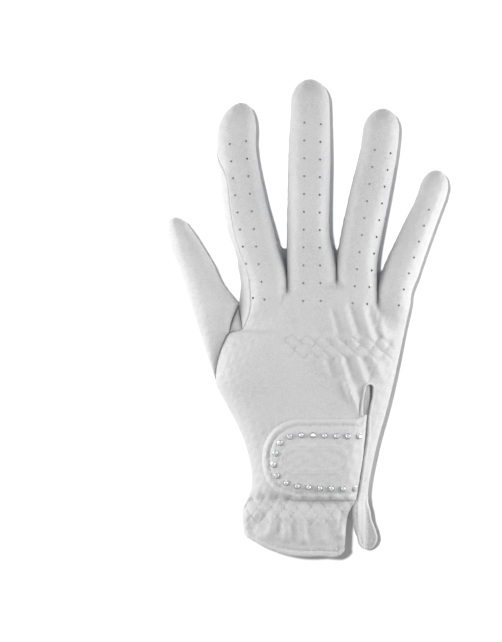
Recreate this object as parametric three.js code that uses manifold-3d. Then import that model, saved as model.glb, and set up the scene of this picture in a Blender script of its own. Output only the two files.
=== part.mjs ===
// Right-hand horse riding glove of white synthetic leather, lying on its palm with its back up.
// Millimetres, +X towards the little finger, +Y towards the fingertips, +Z up from the surface.
// The glove is cut and sewn like the real one: a back, a palm, three fourchettes between the
// fingers, a side band on the index finger, a thumb and a small web gusset. Every panel is a wall
// of the same thickness, and a narrow gap along each seam keeps the panels apart.
import * as THREE from "three";
import { mergeVertices } from "three/addons/utils/BufferGeometryUtils.js";
import Module from "manifold-3d";

const wasm = await Module();
wasm.setup();

// Driving dimensions
const wall = 1.3;
const seamGap = 0.3;
const palmWidth = 85.5;
const handLength = 132.2;
const palmRestShare = 0.9;
const knuckleHeight = 17.5;
const handHeight = 20;
const cuffHeight = 20;
const sideSeamHeight = 8;
const crotchHeight = 12;
const thumbHeight = 15.5;
const thumbTipRadius = 13;
const holeDiameter = 1.2;
const holePitch = 8.95;
const strapThickness = 2.4;
const strapLength = 47;
const strapWidth = 41;
const strapEndRadius = 19;
const stoneDiameter = 3;
const stoneHeight = 1.5;
const stoneInset = 7;
const stonesPerSide = 6;
const stonesRoundEnd = 6;
const bindingWidth = 1.7;
const bindingHeight = 1.9;
const slitWidth = 1.4;
const tabWidth = 11.5;
const tabLength = 25;
const tabThickness = 2;

// Grid sizes of the panels
const tipRows = 5;
const shaftRows = 8;
const backColumns = 6;
const palmColumns = 4;
const sideColumns = 3;
const handRows = 22;
const thumbColumns = 13;
const thumbTopColumns = 6;
const thumbTipRows = 5;
const thumbShaftRows = 5;

const shortestEdge = 0.02;

const fingerRows = tipRows + shaftRows;

// Fingers from the index to the little one. tipX and tipY are shares of palmWidth and handLength.
const fingers = [
  { name: "index", tipX: -0.412, tipY: 1.712, width: 22, thickness: 14.5, tipRadius: 15 },
  { name: "middle", tipX: 0.009, tipY: 1.801, width: 21.5, thickness: 15, tipRadius: 11 },
  { name: "ring", tipX: 0.43, tipY: 1.69, width: 21, thickness: 14.5, tipRadius: 11 },
  { name: "little", tipX: 0.749, tipY: 1.457, width: 18.5, thickness: 12.5, tipRadius: 10 },
];

// Outline of each finger. along runs from tip to base, centre is how far the middle line lies from
// the tip and half is the half width, both as shares of the finger's width.
const outlines = {
  index: [
    { along: 0, centre: 0, half: 0.42 },
    { along: 0.26, centre: -0.03, half: 0.45 },
    { along: 0.53, centre: 0.155, half: 0.482 },
    { along: 0.69, centre: 0.32, half: 0.505 },
    { along: 0.85, centre: 0.49, half: 0.505 },
    { along: 1, centre: 0.575, half: 0.52 },
  ],
  middle: [
    { along: 0, centre: 0, half: 0.43 },
    { along: 0.2, centre: 0, half: 0.465 },
    { along: 0.35, centre: -0.01, half: 0.488 },
    { along: 0.72, centre: -0.04, half: 0.495 },
    { along: 0.9, centre: -0.015, half: 0.54 },
    { along: 1, centre: 0.03, half: 0.58 },
  ],
  ring: [
    { along: 0, centre: 0.02, half: 0.42 },
    { along: 0.22, centre: -0.07, half: 0.446 },
    { along: 0.5, centre: -0.32, half: 0.482 },
    { along: 0.8, centre: -0.57, half: 0.49 },
    { along: 1, centre: -0.63, half: 0.475 },
  ],
  little: [
    { along: 0, centre: 0, half: 0.39 },
    { along: 0.18, centre: -0.11, half: 0.4 },
    { along: 0.45, centre: -0.5, half: 0.455 },
    { along: 0.77, centre: -0.96, half: 0.52 },
    { along: 1, centre: -1.14, half: 0.5 },
  ],
};

// The seam points between the fingers: across as a share of palmWidth, back and palm as shares of
// handLength. The web of a fourchette slopes from the palm side, further out, up to the back side.
const crotches = [
  { across: -0.126, back: 1.01, palm: 1.154 },
  { across: 0.165, back: 1.041, palm: 1.154 },
  { across: 0.405, back: 0.961, palm: 1.071 },
];

// Left edge of the back: the seam of the side band, the foot of the gusset, the thumb seam and then
// the side seam down to the hem. row is the row of the hand's grid, edge a share of sideSeamHeight.
const backLeftEdge = [
  { row: 0, across: -0.344, along: 1.011, edge: 1.55 },
  { row: 1, across: -0.339, along: 0.973, edge: 1.62 },
  { row: 2, across: -0.342, along: 0.927, edge: 1.65 },
  { row: 3, across: -0.36, along: 0.89, edge: 1.55 },
  { row: 4, across: -0.389, along: 0.856, edge: 1.38 },
  { row: 5, across: -0.465, along: 0.84, edge: 1.28 },
  { row: 6, across: -0.497, along: 0.803, edge: 1.35 },
  { row: 7, across: -0.523, along: 0.757, edge: 1.35 },
  { row: 8, across: -0.541, along: 0.704, edge: 1.2 },
  { row: 9, across: -0.544, along: 0.651, edge: 1 },
  { row: 10, across: -0.509, along: 0.602, edge: 0.92 },
  { row: 11, across: -0.468, along: 0.553, edge: 0.92 },
  { row: 12, across: -0.427, along: 0.504, edge: 0.95 },
  { row: 14, across: -0.374, along: 0.421, edge: 1 },
  { row: 16, across: -0.342, along: 0.337, edge: 1.05 },
  { row: 18, across: -0.339, along: 0.254, edge: 1.1 },
  { row: 20, across: -0.389, along: 0.167, edge: 1.15 },
  { row: 22, across: -0.38, along: 0.08, edge: 1.2 },
];
const bandFootRow = 4;
const thumbFootRow = 12;

// Left edge of the palm: beside the side band down to the web of the thumb. Below it the edge runs
// round the base of the thumb, which bulges by thumbBaseReach, and then down the side seam.
const palmLeftEdge = [
  { row: 0, across: -0.406, along: 1.154, edge: 0.35 },
  { row: 1, across: -0.39, along: 1.045, edge: 0.5 },
  { row: 2, across: -0.409, along: 0.942, edge: 0.8 },
];
const webRow = 2;
const thumbBaseReach = 26.5;

// The gusset's middle row: its left end on the thumb seam, its right end on the side band.
const gussetMiddle = { left: -0.444, leftAlong: 0.893, right: -0.396, rightAlong: 0.897, edge: 1.02 };

// Right edge, shared by the back and the palm.
const rightEdge = [
  { row: 0, across: 0.599, along: 0.954, edge: 0.8 },
  { row: 3, across: 0.566, along: 0.852, edge: 0.9 },
  { row: 6, across: 0.533, along: 0.752, edge: 1 },
  { row: 9, across: 0.499, along: 0.652, edge: 1.05 },
  { row: 12, across: 0.461, along: 0.553, edge: 1.1 },
  { row: 16, across: 0.403, along: 0.42, edge: 1.1 },
  { row: 20, across: 0.356, along: 0.275, edge: 1.15 },
  { row: 22, across: 0.348, along: 0.209, edge: 1.15 },
];

// Hems of the back and of the palm, as shares of palmWidth and handLength.
const backHem = [
  { across: -0.38, along: 0.08 },
  { across: -0.342, along: 0.062 },
  { across: -0.225, along: 0.023 },
  { across: -0.09, along: 0.002 },
  { across: 0.05, along: 0.001 },
  { across: 0.205, along: 0.018 },
  { across: 0.348, along: 0.209 },
];
const palmHem = [
  { across: -0.38, along: 0.08 },
  { across: -0.28, along: 0.096 },
  { across: -0.1, along: 0.126 },
  { across: 0.07, along: 0.165 },
  { across: 0.22, along: 0.2 },
  { across: 0.348, along: 0.209 },
];

// Height of the back over the palm's length, in shares of handHeight.
const backHeights = [
  { row: 0, height: 0.875 },
  { row: 4, height: 0.98 },
  { row: 9, height: 1.03 },
  { row: 14, height: 1 },
  { row: 18, height: 0.93 },
  { row: 22, height: 1 },
];

// Outline of the thumb: shares of palmWidth for both sides and of handLength for the way along.
const thumbOutline = [
  { along: 0, left: 0, right: 0.02 },
  { along: 0.06, left: -0.035, right: 0.075 },
  { along: 0.14, left: -0.047, right: 0.122 },
  { along: 0.3, left: -0.034, right: 0.165 },
  { along: 0.5, left: 0.005, right: 0.217 },
  { along: 0.75, left: 0.05, right: 0.277 },
  { along: 1, left: 0.094, right: 0.382 },
];
const thumbTip = { across: -0.778, along: 1.278 };

// Outer side of the thumb's base, by row of the back's left edge.
const thumbSide = [
  { row: 4, across: -0.661 },
  { row: 5, across: -0.635 },
  { row: 6, across: -0.617 },
  { row: 7, across: -0.594 },
  { row: 8, across: -0.567 },
  { row: 9, across: -0.546 },
  { row: 10, across: -0.509 },
  { row: 11, across: -0.468 },
  { row: 12, across: -0.427 },
];

// Folds of the back. Ridges are raised and valleys sink, each along a straight line from one end to
// the other, with height and width in wall thicknesses.
const folds = [
  { x0: 0.079, y0: 0.954, x1: 0.143, y1: 0.821, height: 0.9, width: 2.4 },
  { x0: 0.173, y0: 0.98, x1: 0.243, y1: 0.821, height: 0.9, width: 2.2 },
  { x0: 0.254, y0: 0.942, x1: 0.342, y1: 0.821, height: 1, width: 2.4 },
  { x0: 0.36, y0: 0.935, x1: 0.424, y1: 0.829, height: 0.8, width: 2.4 },
  { x0: 0.155, y0: 0.935, x1: 0.202, y1: 0.821, height: -0.9, width: 2 },
  { x0: 0.225, y0: 0.957, x1: 0.29, y1: 0.829, height: -0.9, width: 2 },
  { x0: 0.313, y0: 0.919, x1: 0.389, y1: 0.832, height: -0.8, width: 2 },
  { x0: -0.1, y0: 0.95, x1: -0.05, y1: 0.82, height: -0.6, width: 3 },
  { x0: -0.15, y0: 0.85, x1: 0.44, y1: 0.83, height: -0.8, width: 2.6 },
  { x0: -0.2, y0: 0.79, x1: 0.46, y1: 0.79, height: -0.7, width: 2.6 },
  { x0: 0.067, y0: 0.753, x1: 0.108, y1: 0.67, height: 0.9, width: 2.6 },
  { x0: 0.161, y0: 0.753, x1: 0.26, y1: 0.594, height: 1.3, width: 2.6 },
  { x0: 0.254, y0: 0.753, x1: 0.313, y1: 0.662, height: 0.9, width: 2.4 },
  { x0: 0.354, y0: 0.753, x1: 0.406, y1: 0.677, height: 0.8, width: 2.4 },
  { x0: 0.213, y0: 0.715, x1: 0.289, y1: 0.579, height: -1.2, width: 2.2 },
  { x0: 0.114, y0: 0.738, x1: 0.167, y1: 0.643, height: -0.9, width: 2.4 },
  { x0: 0.307, y0: 0.734, x1: 0.366, y1: 0.677, height: -0.7, width: 2.2 },
  { x0: -0.38, y0: 0.21, x1: 0.2, y1: 0.2, height: -1.5, width: 3.2 },
  { x0: -0.383, y0: 0.095, x1: -0.36, y1: 0.19, height: 0.9, width: 2.2 },
  { x0: -0.342, y0: 0.133, x1: -0.28, y1: 0.2, height: 0.9, width: 2.2 },
  { x0: -0.25, y0: 0.06, x1: -0.19, y1: 0.17, height: 1, width: 2.6 },
  { x0: -0.14, y0: 0.05, x1: -0.12, y1: 0.17, height: 1, width: 2.6 },
  { x0: -0.03, y0: 0.04, x1: -0.04, y1: 0.16, height: 1, width: 2.6 },
  { x0: 0.08, y0: 0.04, x1: 0.05, y1: 0.16, height: 1, width: 2.6 },
  { x0: 0.18, y0: 0.06, x1: 0.14, y1: 0.16, height: 0.9, width: 2.4 },
];

// Middle line of the slit in the back, from the keyhole to the hem.
const slitLine = [
  { across: 0.342, along: 0.56 },
  { across: 0.334, along: 0.45 },
  { across: 0.314, along: 0.36 },
  { across: 0.29, along: 0.25 },
  { across: 0.272, along: 0.2 },
];
const slitMouth = [
  { across: 0.272, along: 0.203 },
  { across: 0.234, along: 0.16 },
  { across: 0.217, along: 0.07 },
  { across: 0.21, along: -0.05 },
];
const holeRowSpread = 0.85;
const holeSides = 5;
// Rows of holes: offset from the middle line in shares of the finger's width, start from the tip.
const holeRows = {
  index: [{ offset: -0.17, start: 21, count: 10 }, { offset: 0.2, start: 19.5, count: 10 }],
  middle: [{ offset: -0.14, start: 22.2, count: 11 }, { offset: 0.25, start: 23, count: 11 }],
  ring: [{ offset: -0.14, start: 21, count: 10 }, { offset: 0.25, start: 22.5, count: 10 }],
  little: [{ offset: 0.05, start: 20, count: 7 }],
};
const keyhole = { across: 0.352, along: 0.631, width: 3.2, length: 14, lean: 3 };
const strapPlace = { across: 0.285, along: 0.3555 };
const strapLift = 0.2;
const strapRows = 8;
const strapColumns = 10;
const stoneEndInset = 2.8;
const stoneSides = 8;
const bindingSides = 6;
const tabPlace = { across: 0.309, lean: 3.2, neck: 0.66, slope: 0.4 };
const tabDroop = 4;
const tabRows = 7;
const tabColumns = 4;

const leather = { color: 0xdedede, roughness: 0.55, metalness: 0 };
const leatherMaterial = new THREE.MeshStandardMaterial({ ...leather, name: "synthetic_leather" });
const fourchetteMaterial = new THREE.MeshStandardMaterial({ ...leather, color: 0xd2d2d4, name: "stretch_fabric" });
const trimMaterial = new THREE.MeshStandardMaterial({ ...leather, color: 0xe8e8e8, name: "trim_leather" });
const stoneMaterial = new THREE.MeshStandardMaterial({ color: 0xd8dde4, roughness: 0.1, metalness: 0.4, name: "crystal" });

const mix = (a, b, t) => a + (b - a) * t;
const clamp01 = (t) => Math.min(1, Math.max(0, t));
const ease = (t) => clamp01(t) ** 2 * (3 - 2 * clamp01(t));
const acrossAt = (share) => share * palmWidth;
const alongAt = (share) => (share - palmRestShare) * handLength;
const point = (across, along, z) => new THREE.Vector3(acrossAt(across), alongAt(along), z);

// Reads a column of a table at a place between its rows, along a smooth curve through the rows.
function readTable(rows, key, column, at) {
  const last = rows.length - 1;
  if (at <= rows[0][key]) return rows[0][column];
  if (at >= rows[last][key]) return rows[last][column];
  let i = 0;
  while (rows[i + 1][key] < at) i += 1;
  const span = rows[i + 1][key] - rows[i][key];
  const slope = (k) => {
    const lo = Math.max(0, k - 1);
    const hi = Math.min(last, k + 1);
    return (rows[hi][column] - rows[lo][column]) / (rows[hi][key] - rows[lo][key]);
  };
  const t = (at - rows[i][key]) / span;
  const start = (2 * t ** 3 - 3 * t ** 2 + 1) * rows[i][column] + (t ** 3 - 2 * t ** 2 + t) * span * slope(i);
  const end = (3 * t ** 2 - 2 * t ** 3) * rows[i + 1][column] + (t ** 3 - t ** 2) * span * slope(i + 1);
  return start + end;
}

// A row of points from one seam to the other over an arch. fullness 1 has upright sides, and less
// leaves them slanted. The crown is the height of the arch's middle, and floor limits it below.
function arch(from, to, crown, fullness, power, columns, floor = -Infinity) {
  const limit = Math.asin(fullness ** (power / 2));
  const rim = Math.cos(limit) ** (2 / power);
  const row = [];
  for (let j = 0; j <= columns; j += 1) {
    const angle = limit * ((2 * j) / columns - 1);
    const side = (Math.sign(angle) * Math.abs(Math.sin(angle)) ** (2 / power)) / fullness;
    const rise = (Math.max(0, Math.cos(angle)) ** (2 / power) - rim) / (1 - rim);
    const p = from.clone().lerp(to, (side + 1) / 2);
    p.z = Math.max(floor, mix(p.z, crown, rise));
    if (j === 0) p.copy(from);
    if (j === columns) p.copy(to);
    row.push(p);
  }
  return row;
}

// Spreads a dense row's points evenly over its length.
function evenRow(dense, columns) {
  const lengths = [0];
  for (let i = 1; i < dense.length; i += 1) lengths.push(lengths[i - 1] + dense[i].distanceTo(dense[i - 1]));
  const row = [];
  let k = 0;
  for (let j = 0; j <= columns; j += 1) {
    const at = (lengths[dense.length - 1] * j) / Math.max(1, columns);
    while (k < dense.length - 2 && lengths[k + 1] < at) k += 1;
    const span = Math.max(lengths[k + 1] - lengths[k], 1e-9);
    row.push(dense[k].clone().lerp(dense[k + 1], clamp01((at - lengths[k]) / span)));
  }
  row[columns].copy(dense[dense.length - 1]);
  return row;
}

const domeAt = (distance, radius) => Math.sqrt(1 - (1 - clamp01(distance / radius)) ** 2);

// Distance of a finger's rows from its tip. The first rows follow the round tip, and the rest are
// spread evenly down to the end of that seam.
function rowDistance(row, radius, length) {
  const tipReach = radius * 1.45;
  if (row <= tipRows) return tipReach * (row / tipRows) ** 1.7;
  return mix(tipReach, length, (row - tipRows) / shaftRows);
}

// One finger's seams. The back seam and the palm seam of a side run together round the tip and part
// below it, and each ends at its own crotch point.
function fingerSeams(index) {
  const finger = fingers[index];
  const rows = outlines[finger.name];
  const tip = point(finger.tipX, finger.tipY, 0);
  const left = crotches[index - 1];
  const right = crotches[index];
  const ends = {
    backLeft: left ? point(left.across, left.back, crotchHeight) : edgePoint(backLeftEdge, 0),
    palmLeft: left ? point(left.across, left.palm, 0) : edgePoint(palmLeftEdge, 0),
    backRight: right ? point(right.across, right.back, crotchHeight) : edgePoint(rightEdge, 0),
    palmRight: right ? point(right.across, right.palm, 0) : edgePoint(rightEdge, 0),
  };
  const baseLength = tip.y - (ends.backLeft.y + ends.backRight.y) / 2;
  const seam = (end, side, isBack, hasSide) => {
    const line = [];
    for (let row = 1; row <= fingerRows; row += 1) {
      const distance = rowDistance(row, finger.tipRadius, tip.y - end.y);
      const share = distance / baseLength;
      const centre = tip.x + readTable(rows, "along", "centre", share) * finger.width;
      const half = readTable(rows, "along", "half", share) * finger.width * domeAt(distance, finger.tipRadius);
      const parted = hasSide ? ease((row - tipRows) / 3) : 0;
      const inset = mix(1, isBack ? 0.93 : 0.8, parted);
      const middle = 0.45 * finger.thickness;
      const height = mix(middle, isBack ? 0.7 * finger.thickness : 1.1, parted);
      const p = new THREE.Vector3(centre + side * half * inset, tip.y - distance, height);
      const landing = ease((row - fingerRows + 2.6) / 2.6);
      p.x = mix(p.x, end.x, landing ** 1.5);
      p.z = mix(p.z, end.z, landing);
      line.push(row === fingerRows ? end.clone() : p);
    }
    return line;
  };
  const little = !right;
  return {
    pole: new THREE.Vector3(tip.x, tip.y, 0.45 * finger.thickness),
    backLeft: seam(ends.backLeft, -1, true, true),
    palmLeft: seam(ends.palmLeft, -1, false, true),
    backRight: seam(ends.backRight, 1, true, !little),
    palmRight: seam(ends.palmRight, 1, false, !little),
  };
}

function edgePoint(table, row) {
  const z = readTable(table, "row", "edge", row) * sideSeamHeight;
  return point(readTable(table, "row", "across", row), readTable(table, "row", "along", row), z);
}

// The palm's left edge below the web: round the base of the thumb, then the side seam.
function palmLeftPoint(row) {
  if (row <= webRow) return edgePoint(palmLeftEdge, row);
  if (row >= thumbFootRow) return edgePoint(backLeftEdge, row);
  const t = (row - webRow) / (thumbFootRow - webRow);
  const angle = Math.PI * (1 - t);
  const top = edgePoint(palmLeftEdge, webRow);
  const foot = edgePoint(backLeftEdge, thumbFootRow);
  const x = mix(top.x, foot.x, t) + thumbBaseReach * Math.sin(angle);
  const y = mix(foot.y, top.y, (1 - Math.cos(angle)) / 2);
  const lift = Math.max(top.z * (1 - ease(t * 8)), foot.z * (1 - ease((1 - t) * 6)));
  return new THREE.Vector3(x, y, lift);
}

const seams = fingers.map((finger, index) => fingerSeams(index));

// Height of a finger's back at one of its rows, rising to the knuckles at the base.
function fingerCrown(index, row, isBack) {
  const finger = fingers[index];
  const middle = 0.45 * finger.thickness;
  const dome = domeAt(rowDistance(row, finger.tipRadius, finger.tipRadius * 9), finger.tipRadius);
  const rise = ease((row - tipRows) / shaftRows);
  const full = isBack ? mix(finger.thickness, knuckleHeight, rise) : -0.14 * finger.thickness;
  return mix(middle, full, row >= tipRows ? 1 : dome);
}

// A finger's back or front: rows of arches from its pole to its base.
function fingerStrip(index, isBack) {
  const set = seams[index];
  const columns = isBack ? backColumns : palmColumns;
  const rows = [];
  for (let row = 1; row <= fingerRows; row += 1) {
    const from = isBack ? set.backLeft[row - 1] : set.palmLeft[row - 1];
    const to = isBack ? set.backRight[row - 1] : set.palmRight[row - 1];
    const parted = ease((row - tipRows) / 3);
    const fullness = mix(0.998, isBack ? 0.93 : 0.85, parted);
    const crown = fingerCrown(index, row, isBack);
    rows.push(arch(from, to, crown, fullness, isBack ? 2.3 : 2.8, columns, 0));
  }
  return { pole: set.pole, rows };
}

function foldHeight(x, y) {
  let sum = 0;
  for (const fold of folds) {
    const from = point(fold.x0, fold.y0, 0);
    const to = point(fold.x1, fold.y1, 0);
    const way = to.clone().sub(from);
    const spot = new THREE.Vector3(x, y, 0).sub(from);
    const t = clamp01(spot.dot(way) / way.lengthSq());
    const distance = spot.sub(way.multiplyScalar(t)).length();
    sum += fold.height * wall * Math.exp(-((distance / (fold.width * wall)) ** 2));
  }
  return sum;
}

// The hand's back or palm. Its first row is the fingers' last rows side by side, its last row is
// the hem, and between them the rows settle into plain arches from one edge to the other.
function handGrid(isBack, strips) {
  const hem = isBack ? backHem : palmHem;
  const base = strips.flatMap((strip, i) => strip.rows[fingerRows - 1].slice(i === 0 ? 0 : 1));
  const columns = base.length - 1;
  const smoothRow = (row) => {
    const from = isBack ? edgePoint(backLeftEdge, row) : palmLeftPoint(row);
    const to = edgePoint(rightEdge, row);
    const cuff = mix(handHeight, cuffHeight, ease(row / handRows));
    const crown = isBack ? readTable(backHeights, "row", "height", row) * cuff : -4;
    return arch(from, to, crown, 0.985, isBack ? 2.5 : 2.6, columns, 0);
  };
  const first = smoothRow(0);
  const last = smoothRow(handRows);
  const rows = [];
  for (let row = 0; row <= handRows; row += 1) {
    const fromBase = 1 - ease(row / (isBack ? 8 : 12));
    const fromHem = ease((row - 9) / (handRows - 9));
    const line = smoothRow(row).map((p, j) => {
      const q = p.clone();
      q.add(base[j].clone().sub(first[j]).multiplyScalar(fromBase));
      const hemY = alongAt(readTable(hem, "across", "along", last[j].x / palmWidth));
      q.y += (hemY - last[j].y) * fromHem;
      const inner = Math.min(j, columns - j);
      if (isBack && inner > 0) q.z += foldHeight(q.x, q.y) * ease(row / 2) * ease(inner / 3);
      q.z = Math.max(0, q.z);
      return q;
    });
    line[0] = isBack ? edgePoint(backLeftEdge, row) : palmLeftPoint(row);
    line[columns] = edgePoint(rightEdge, row);
    if (row === 0) base.forEach((p, j) => line[j].copy(p));
    rows.push(line);
  }
  return rows;
}

// The side wall between a back seam and a palm seam, bulging out to the finger's edge.
function sideRow(back, palm, bulge) {
  const row = [];
  for (let j = 0; j <= sideColumns; j += 1) {
    const t = j / sideColumns;
    const p = back.clone().lerp(palm, t);
    p.x += bulge * 4 * t * (1 - t);
    row.push(p);
  }
  return row;
}

const sideBulge = (row) => 0.13 * ease((row - tipRows) / 3);

// A fourchette: down the ulnar side of one finger, round the web and up the next finger. It ends
// in a point on each finger, where the back seam and the palm seam meet.
function fourchetteGrid(index) {
  const one = seams[index];
  const next = seams[index + 1];
  const rows = [];
  const webFade = (row) => 1 - ease((row - fingerRows + 3) / 3);
  for (let row = tipRows + 1; row <= fingerRows; row += 1) {
    const bulge = sideBulge(row) * webFade(row) * fingers[index].width;
    rows.push(sideRow(one.backRight[row - 1], one.palmRight[row - 1], bulge));
  }
  for (let row = fingerRows - 1; row > tipRows; row -= 1) {
    const bulge = sideBulge(row) * webFade(row) * fingers[index + 1].width;
    rows.push(sideRow(next.backLeft[row - 1], next.palmLeft[row - 1], -bulge));
  }
  return { rows, startPole: one.backRight[tipRows - 1], endPole: next.backLeft[tipRows - 1] };
}

const gussetPoint = (side, along) => point(side, along, gussetMiddle.edge * sideSeamHeight);
const gussetLeftPoint = gussetPoint(gussetMiddle.left, gussetMiddle.leftAlong);
const gussetRightPoint = gussetPoint(gussetMiddle.right, gussetMiddle.rightAlong);

// The band on the index finger's outer side, from below the tip to its point beside the thumb.
function bandGrid() {
  const set = seams[0];
  const rows = [];
  for (let row = tipRows + 1; row <= fingerRows; row += 1) {
    rows.push(sideRow(set.backLeft[row - 1], set.palmLeft[row - 1], -sideBulge(row) * fingers[0].width));
  }
  const lower = [edgePoint(palmLeftEdge, 1), edgePoint(palmLeftEdge, webRow), gussetRightPoint];
  lower.forEach((p, i) => {
    const bulge = 0.13 * fingers[0].width * (1 - (i + 1) / bandFootRow);
    rows.push(sideRow(edgePoint(backLeftEdge, i + 1), p, -bulge));
  });
  return { rows, startPole: set.backLeft[tipRows - 1], endPole: edgePoint(backLeftEdge, bandFootRow) };
}

// The small gusset in the web between the thumb and the index finger.
function gussetGrid() {
  const foot = [edgePoint(backLeftEdge, bandFootRow + 1), edgePoint(backLeftEdge, bandFootRow)];
  return { rows: [[gussetLeftPoint, gussetRightPoint], foot], startPole: edgePoint(palmLeftEdge, webRow) };
}

// The thumb: closed rings from its tip to the web, then rows from the thumb seam on the back round
// the outer side to the seam round the thumb's base on the palm.
function thumbGrid() {
  const tip = point(thumbTip.across, thumbTip.along, 0.45 * thumbHeight);
  const web = edgePoint(palmLeftEdge, webRow);
  const rows = [];
  const wrap = (inner, outer, end, crown, depth, topColumns) => {
    const top = evenRow(arch(inner, outer, crown, 0.998, 2.3, 4 * thumbColumns, 0), topColumns);
    const under = evenRow(arch(outer, end, depth, 0.998, 2.6, 4 * thumbColumns, 0), thumbColumns - topColumns);
    return [...top.slice(0, -1), ...under];
  };
  const ringCount = thumbTipRows + thumbShaftRows;
  const tipShare = (1.3 * thumbTipRadius) / (tip.y - web.y);
  for (let i = 1; i <= ringCount; i += 1) {
    const inTip = tipShare * (i / thumbTipRows) ** 1.7;
    const share = i <= thumbTipRows ? inTip : mix(tipShare, 1, (i - thumbTipRows) / thumbShaftRows);
    const y = mix(tip.y, web.y, share);
    const dome = domeAt(share * (tip.y - web.y), thumbTipRadius);
    const left = tip.x + acrossAt(readTable(thumbOutline, "along", "left", share));
    const right = tip.x + acrossAt(readTable(thumbOutline, "along", "right", share));
    const inner = new THREE.Vector3(right, y, mix(tip.z, web.z, ease(share * 2 - 1)));
    if (i === ringCount) inner.copy(web);
    const outer = new THREE.Vector3(left, y, tip.z);
    rows.push(wrap(inner, outer, inner, mix(tip.z, thumbHeight, dome), mix(tip.z, -2, dome), thumbTopColumns));
  }
  const seamRows = thumbFootRow - webRow - 1;
  for (let i = 1; i <= seamRows; i += 1) {
    const backRow = bandFootRow - 1 + i;
    const inner = i === 1 ? gussetLeftPoint : edgePoint(backLeftEdge, backRow);
    const end = palmLeftPoint(webRow + i);
    const outer = point(readTable(thumbSide, "row", "across", backRow), 0, 0.9 * sideSeamHeight);
    outer.y = inner.y;
    const topColumns = Math.max(0, thumbTopColumns - i);
    if (topColumns === 0) outer.copy(inner);
    const crown = mix(thumbHeight, inner.z, ease(i / thumbTopColumns));
    const row = wrap(inner, outer, end, crown, -2, topColumns);
    if (i === seamRows) row.forEach((p, j) => p.lerpVectors(inner, end, j / thumbColumns));
    rows.push(row);
  }
  return { startPole: tip, rows, crossed: true };
}

// Turns a grid of points into loose triangles. Poles close its first and last rows, and crossed
// cells are split along their other diagonal.
function gridTriangles({ startPole, rows, endPole, crossed }, turned) {
  const triangles = [];
  const add = (a, b, c) => triangles.push(turned ? [a, c, b] : [a, b, c]);
  const last = rows.length - 1;
  for (let j = 0; j < rows[0].length - 1; j += 1) {
    if (startPole) add(startPole, rows[0][j], rows[0][j + 1]);
    for (let i = 0; i < last; i += 1) {
      const [a, b, c, d] = [rows[i][j], rows[i + 1][j], rows[i + 1][j + 1], rows[i][j + 1]];
      if (crossed) {
        add(a, b, d);
        add(b, c, d);
      } else {
        add(a, b, c);
        add(a, c, d);
      }
    }
    if (endPole) add(rows[last][j], endPole, rows[last][j + 1]);
  }
  return triangles;
}

const keyOf = (p) => `${Math.round(p.x * 2000)},${Math.round(p.y * 2000)},${Math.round(p.z * 2000)}`;

// One indexed surface from loose triangles: equal points are joined and empty faces left out.
function weld(triangles) {
  const points = [];
  const lookup = new Map();
  const indexOf = (p) => {
    const key = keyOf(p);
    if (!lookup.has(key)) {
      lookup.set(key, points.length);
      points.push(p.clone());
    }
    return lookup.get(key);
  };
  const faces = triangles.map((corners) => corners.map(indexOf));
  return { points, faces: faces.filter(([a, b, c]) => a !== b && b !== c && c !== a) };
}

const faceNormal = (a, b, c) => b.clone().sub(a).cross(c.clone().sub(a));

// Normals of the whole glove's surface, so that panels that meet at a seam share them.
function sharedNormals(surfaces) {
  const normals = new Map();
  for (const { points, faces } of surfaces) {
    for (const face of faces) {
      const normal = faceNormal(...face.map((i) => points[i])).normalize();
      for (const i of face) {
        const key = keyOf(points[i]);
        const next = points[face[(face.indexOf(i) + 1) % 3]].clone().sub(points[i]);
        const other = points[face[(face.indexOf(i) + 2) % 3]].clone().sub(points[i]);
        const sum = normals.get(key) ?? new THREE.Vector3();
        normals.set(key, sum.addScaledVector(normal, next.angleTo(other)));
      }
    }
  }
  normals.forEach((normal) => normal.normalize());
  return normals;
}

// Gives a surface its wall: the rim is drawn back from the seam, the inner face lies one wall
// inside, and a band of faces along every open edge joins the two.
function thicken({ points, faces }, rimGap = seamGap / 2, spare = 0) {
  const open = new Map();
  for (const face of faces) {
    face.forEach((a, k) => {
      const b = face[(k + 1) % 3];
      if (open.has(`${b},${a}`)) open.delete(`${b},${a}`);
      else open.set(`${a},${b}`, { a, b, c: face[(k + 2) % 3] });
    });
  }
  const shifts = new Map();
  for (const { a, b, c } of open.values()) {
    const along = points[b].clone().sub(points[a]).normalize();
    const inward = points[c].clone().sub(points[a]);
    inward.addScaledVector(along, -inward.dot(along)).normalize();
    for (const i of [a, b]) shifts.set(i, [...(shifts.get(i) ?? []), inward]);
  }
  const outer = points.map((p, i) => {
    const parts = shifts.get(i);
    if (!parts) return p.clone();
    const sum = parts.reduce((total, part) => total.add(part), new THREE.Vector3());
    const spread = Math.max(0.3, sum.length() / parts.length);
    return p.clone().addScaledVector(sum.normalize(), rimGap / spread);
  });
  const normalAt = (i) => normals.get(keyOf(points[i]));
  const inner = outer.map((p, i) => p.clone().addScaledVector(normalAt(i), -wall - spare));
  outer.forEach((p, i) => p.addScaledVector(normalAt(i), spare));
  const triangles = [];
  for (const [a, b, c] of faces) {
    triangles.push([outer[a], outer[b], outer[c]], [inner[a], inner[c], inner[b]]);
  }
  for (const { a, b } of open.values()) {
    triangles.push([outer[b], outer[a], inner[a]], [outer[b], inner[a], inner[b]]);
  }
  return triangles;
}

function geometryOf(triangles) {
  const geometry = new THREE.BufferGeometry();
  const numbers = triangles.flatMap((corners) => corners.flatMap((p) => [p.x, p.y, p.z]));
  geometry.setAttribute("position", new THREE.Float32BufferAttribute(numbers, 3));
  return geometry;
}

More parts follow.
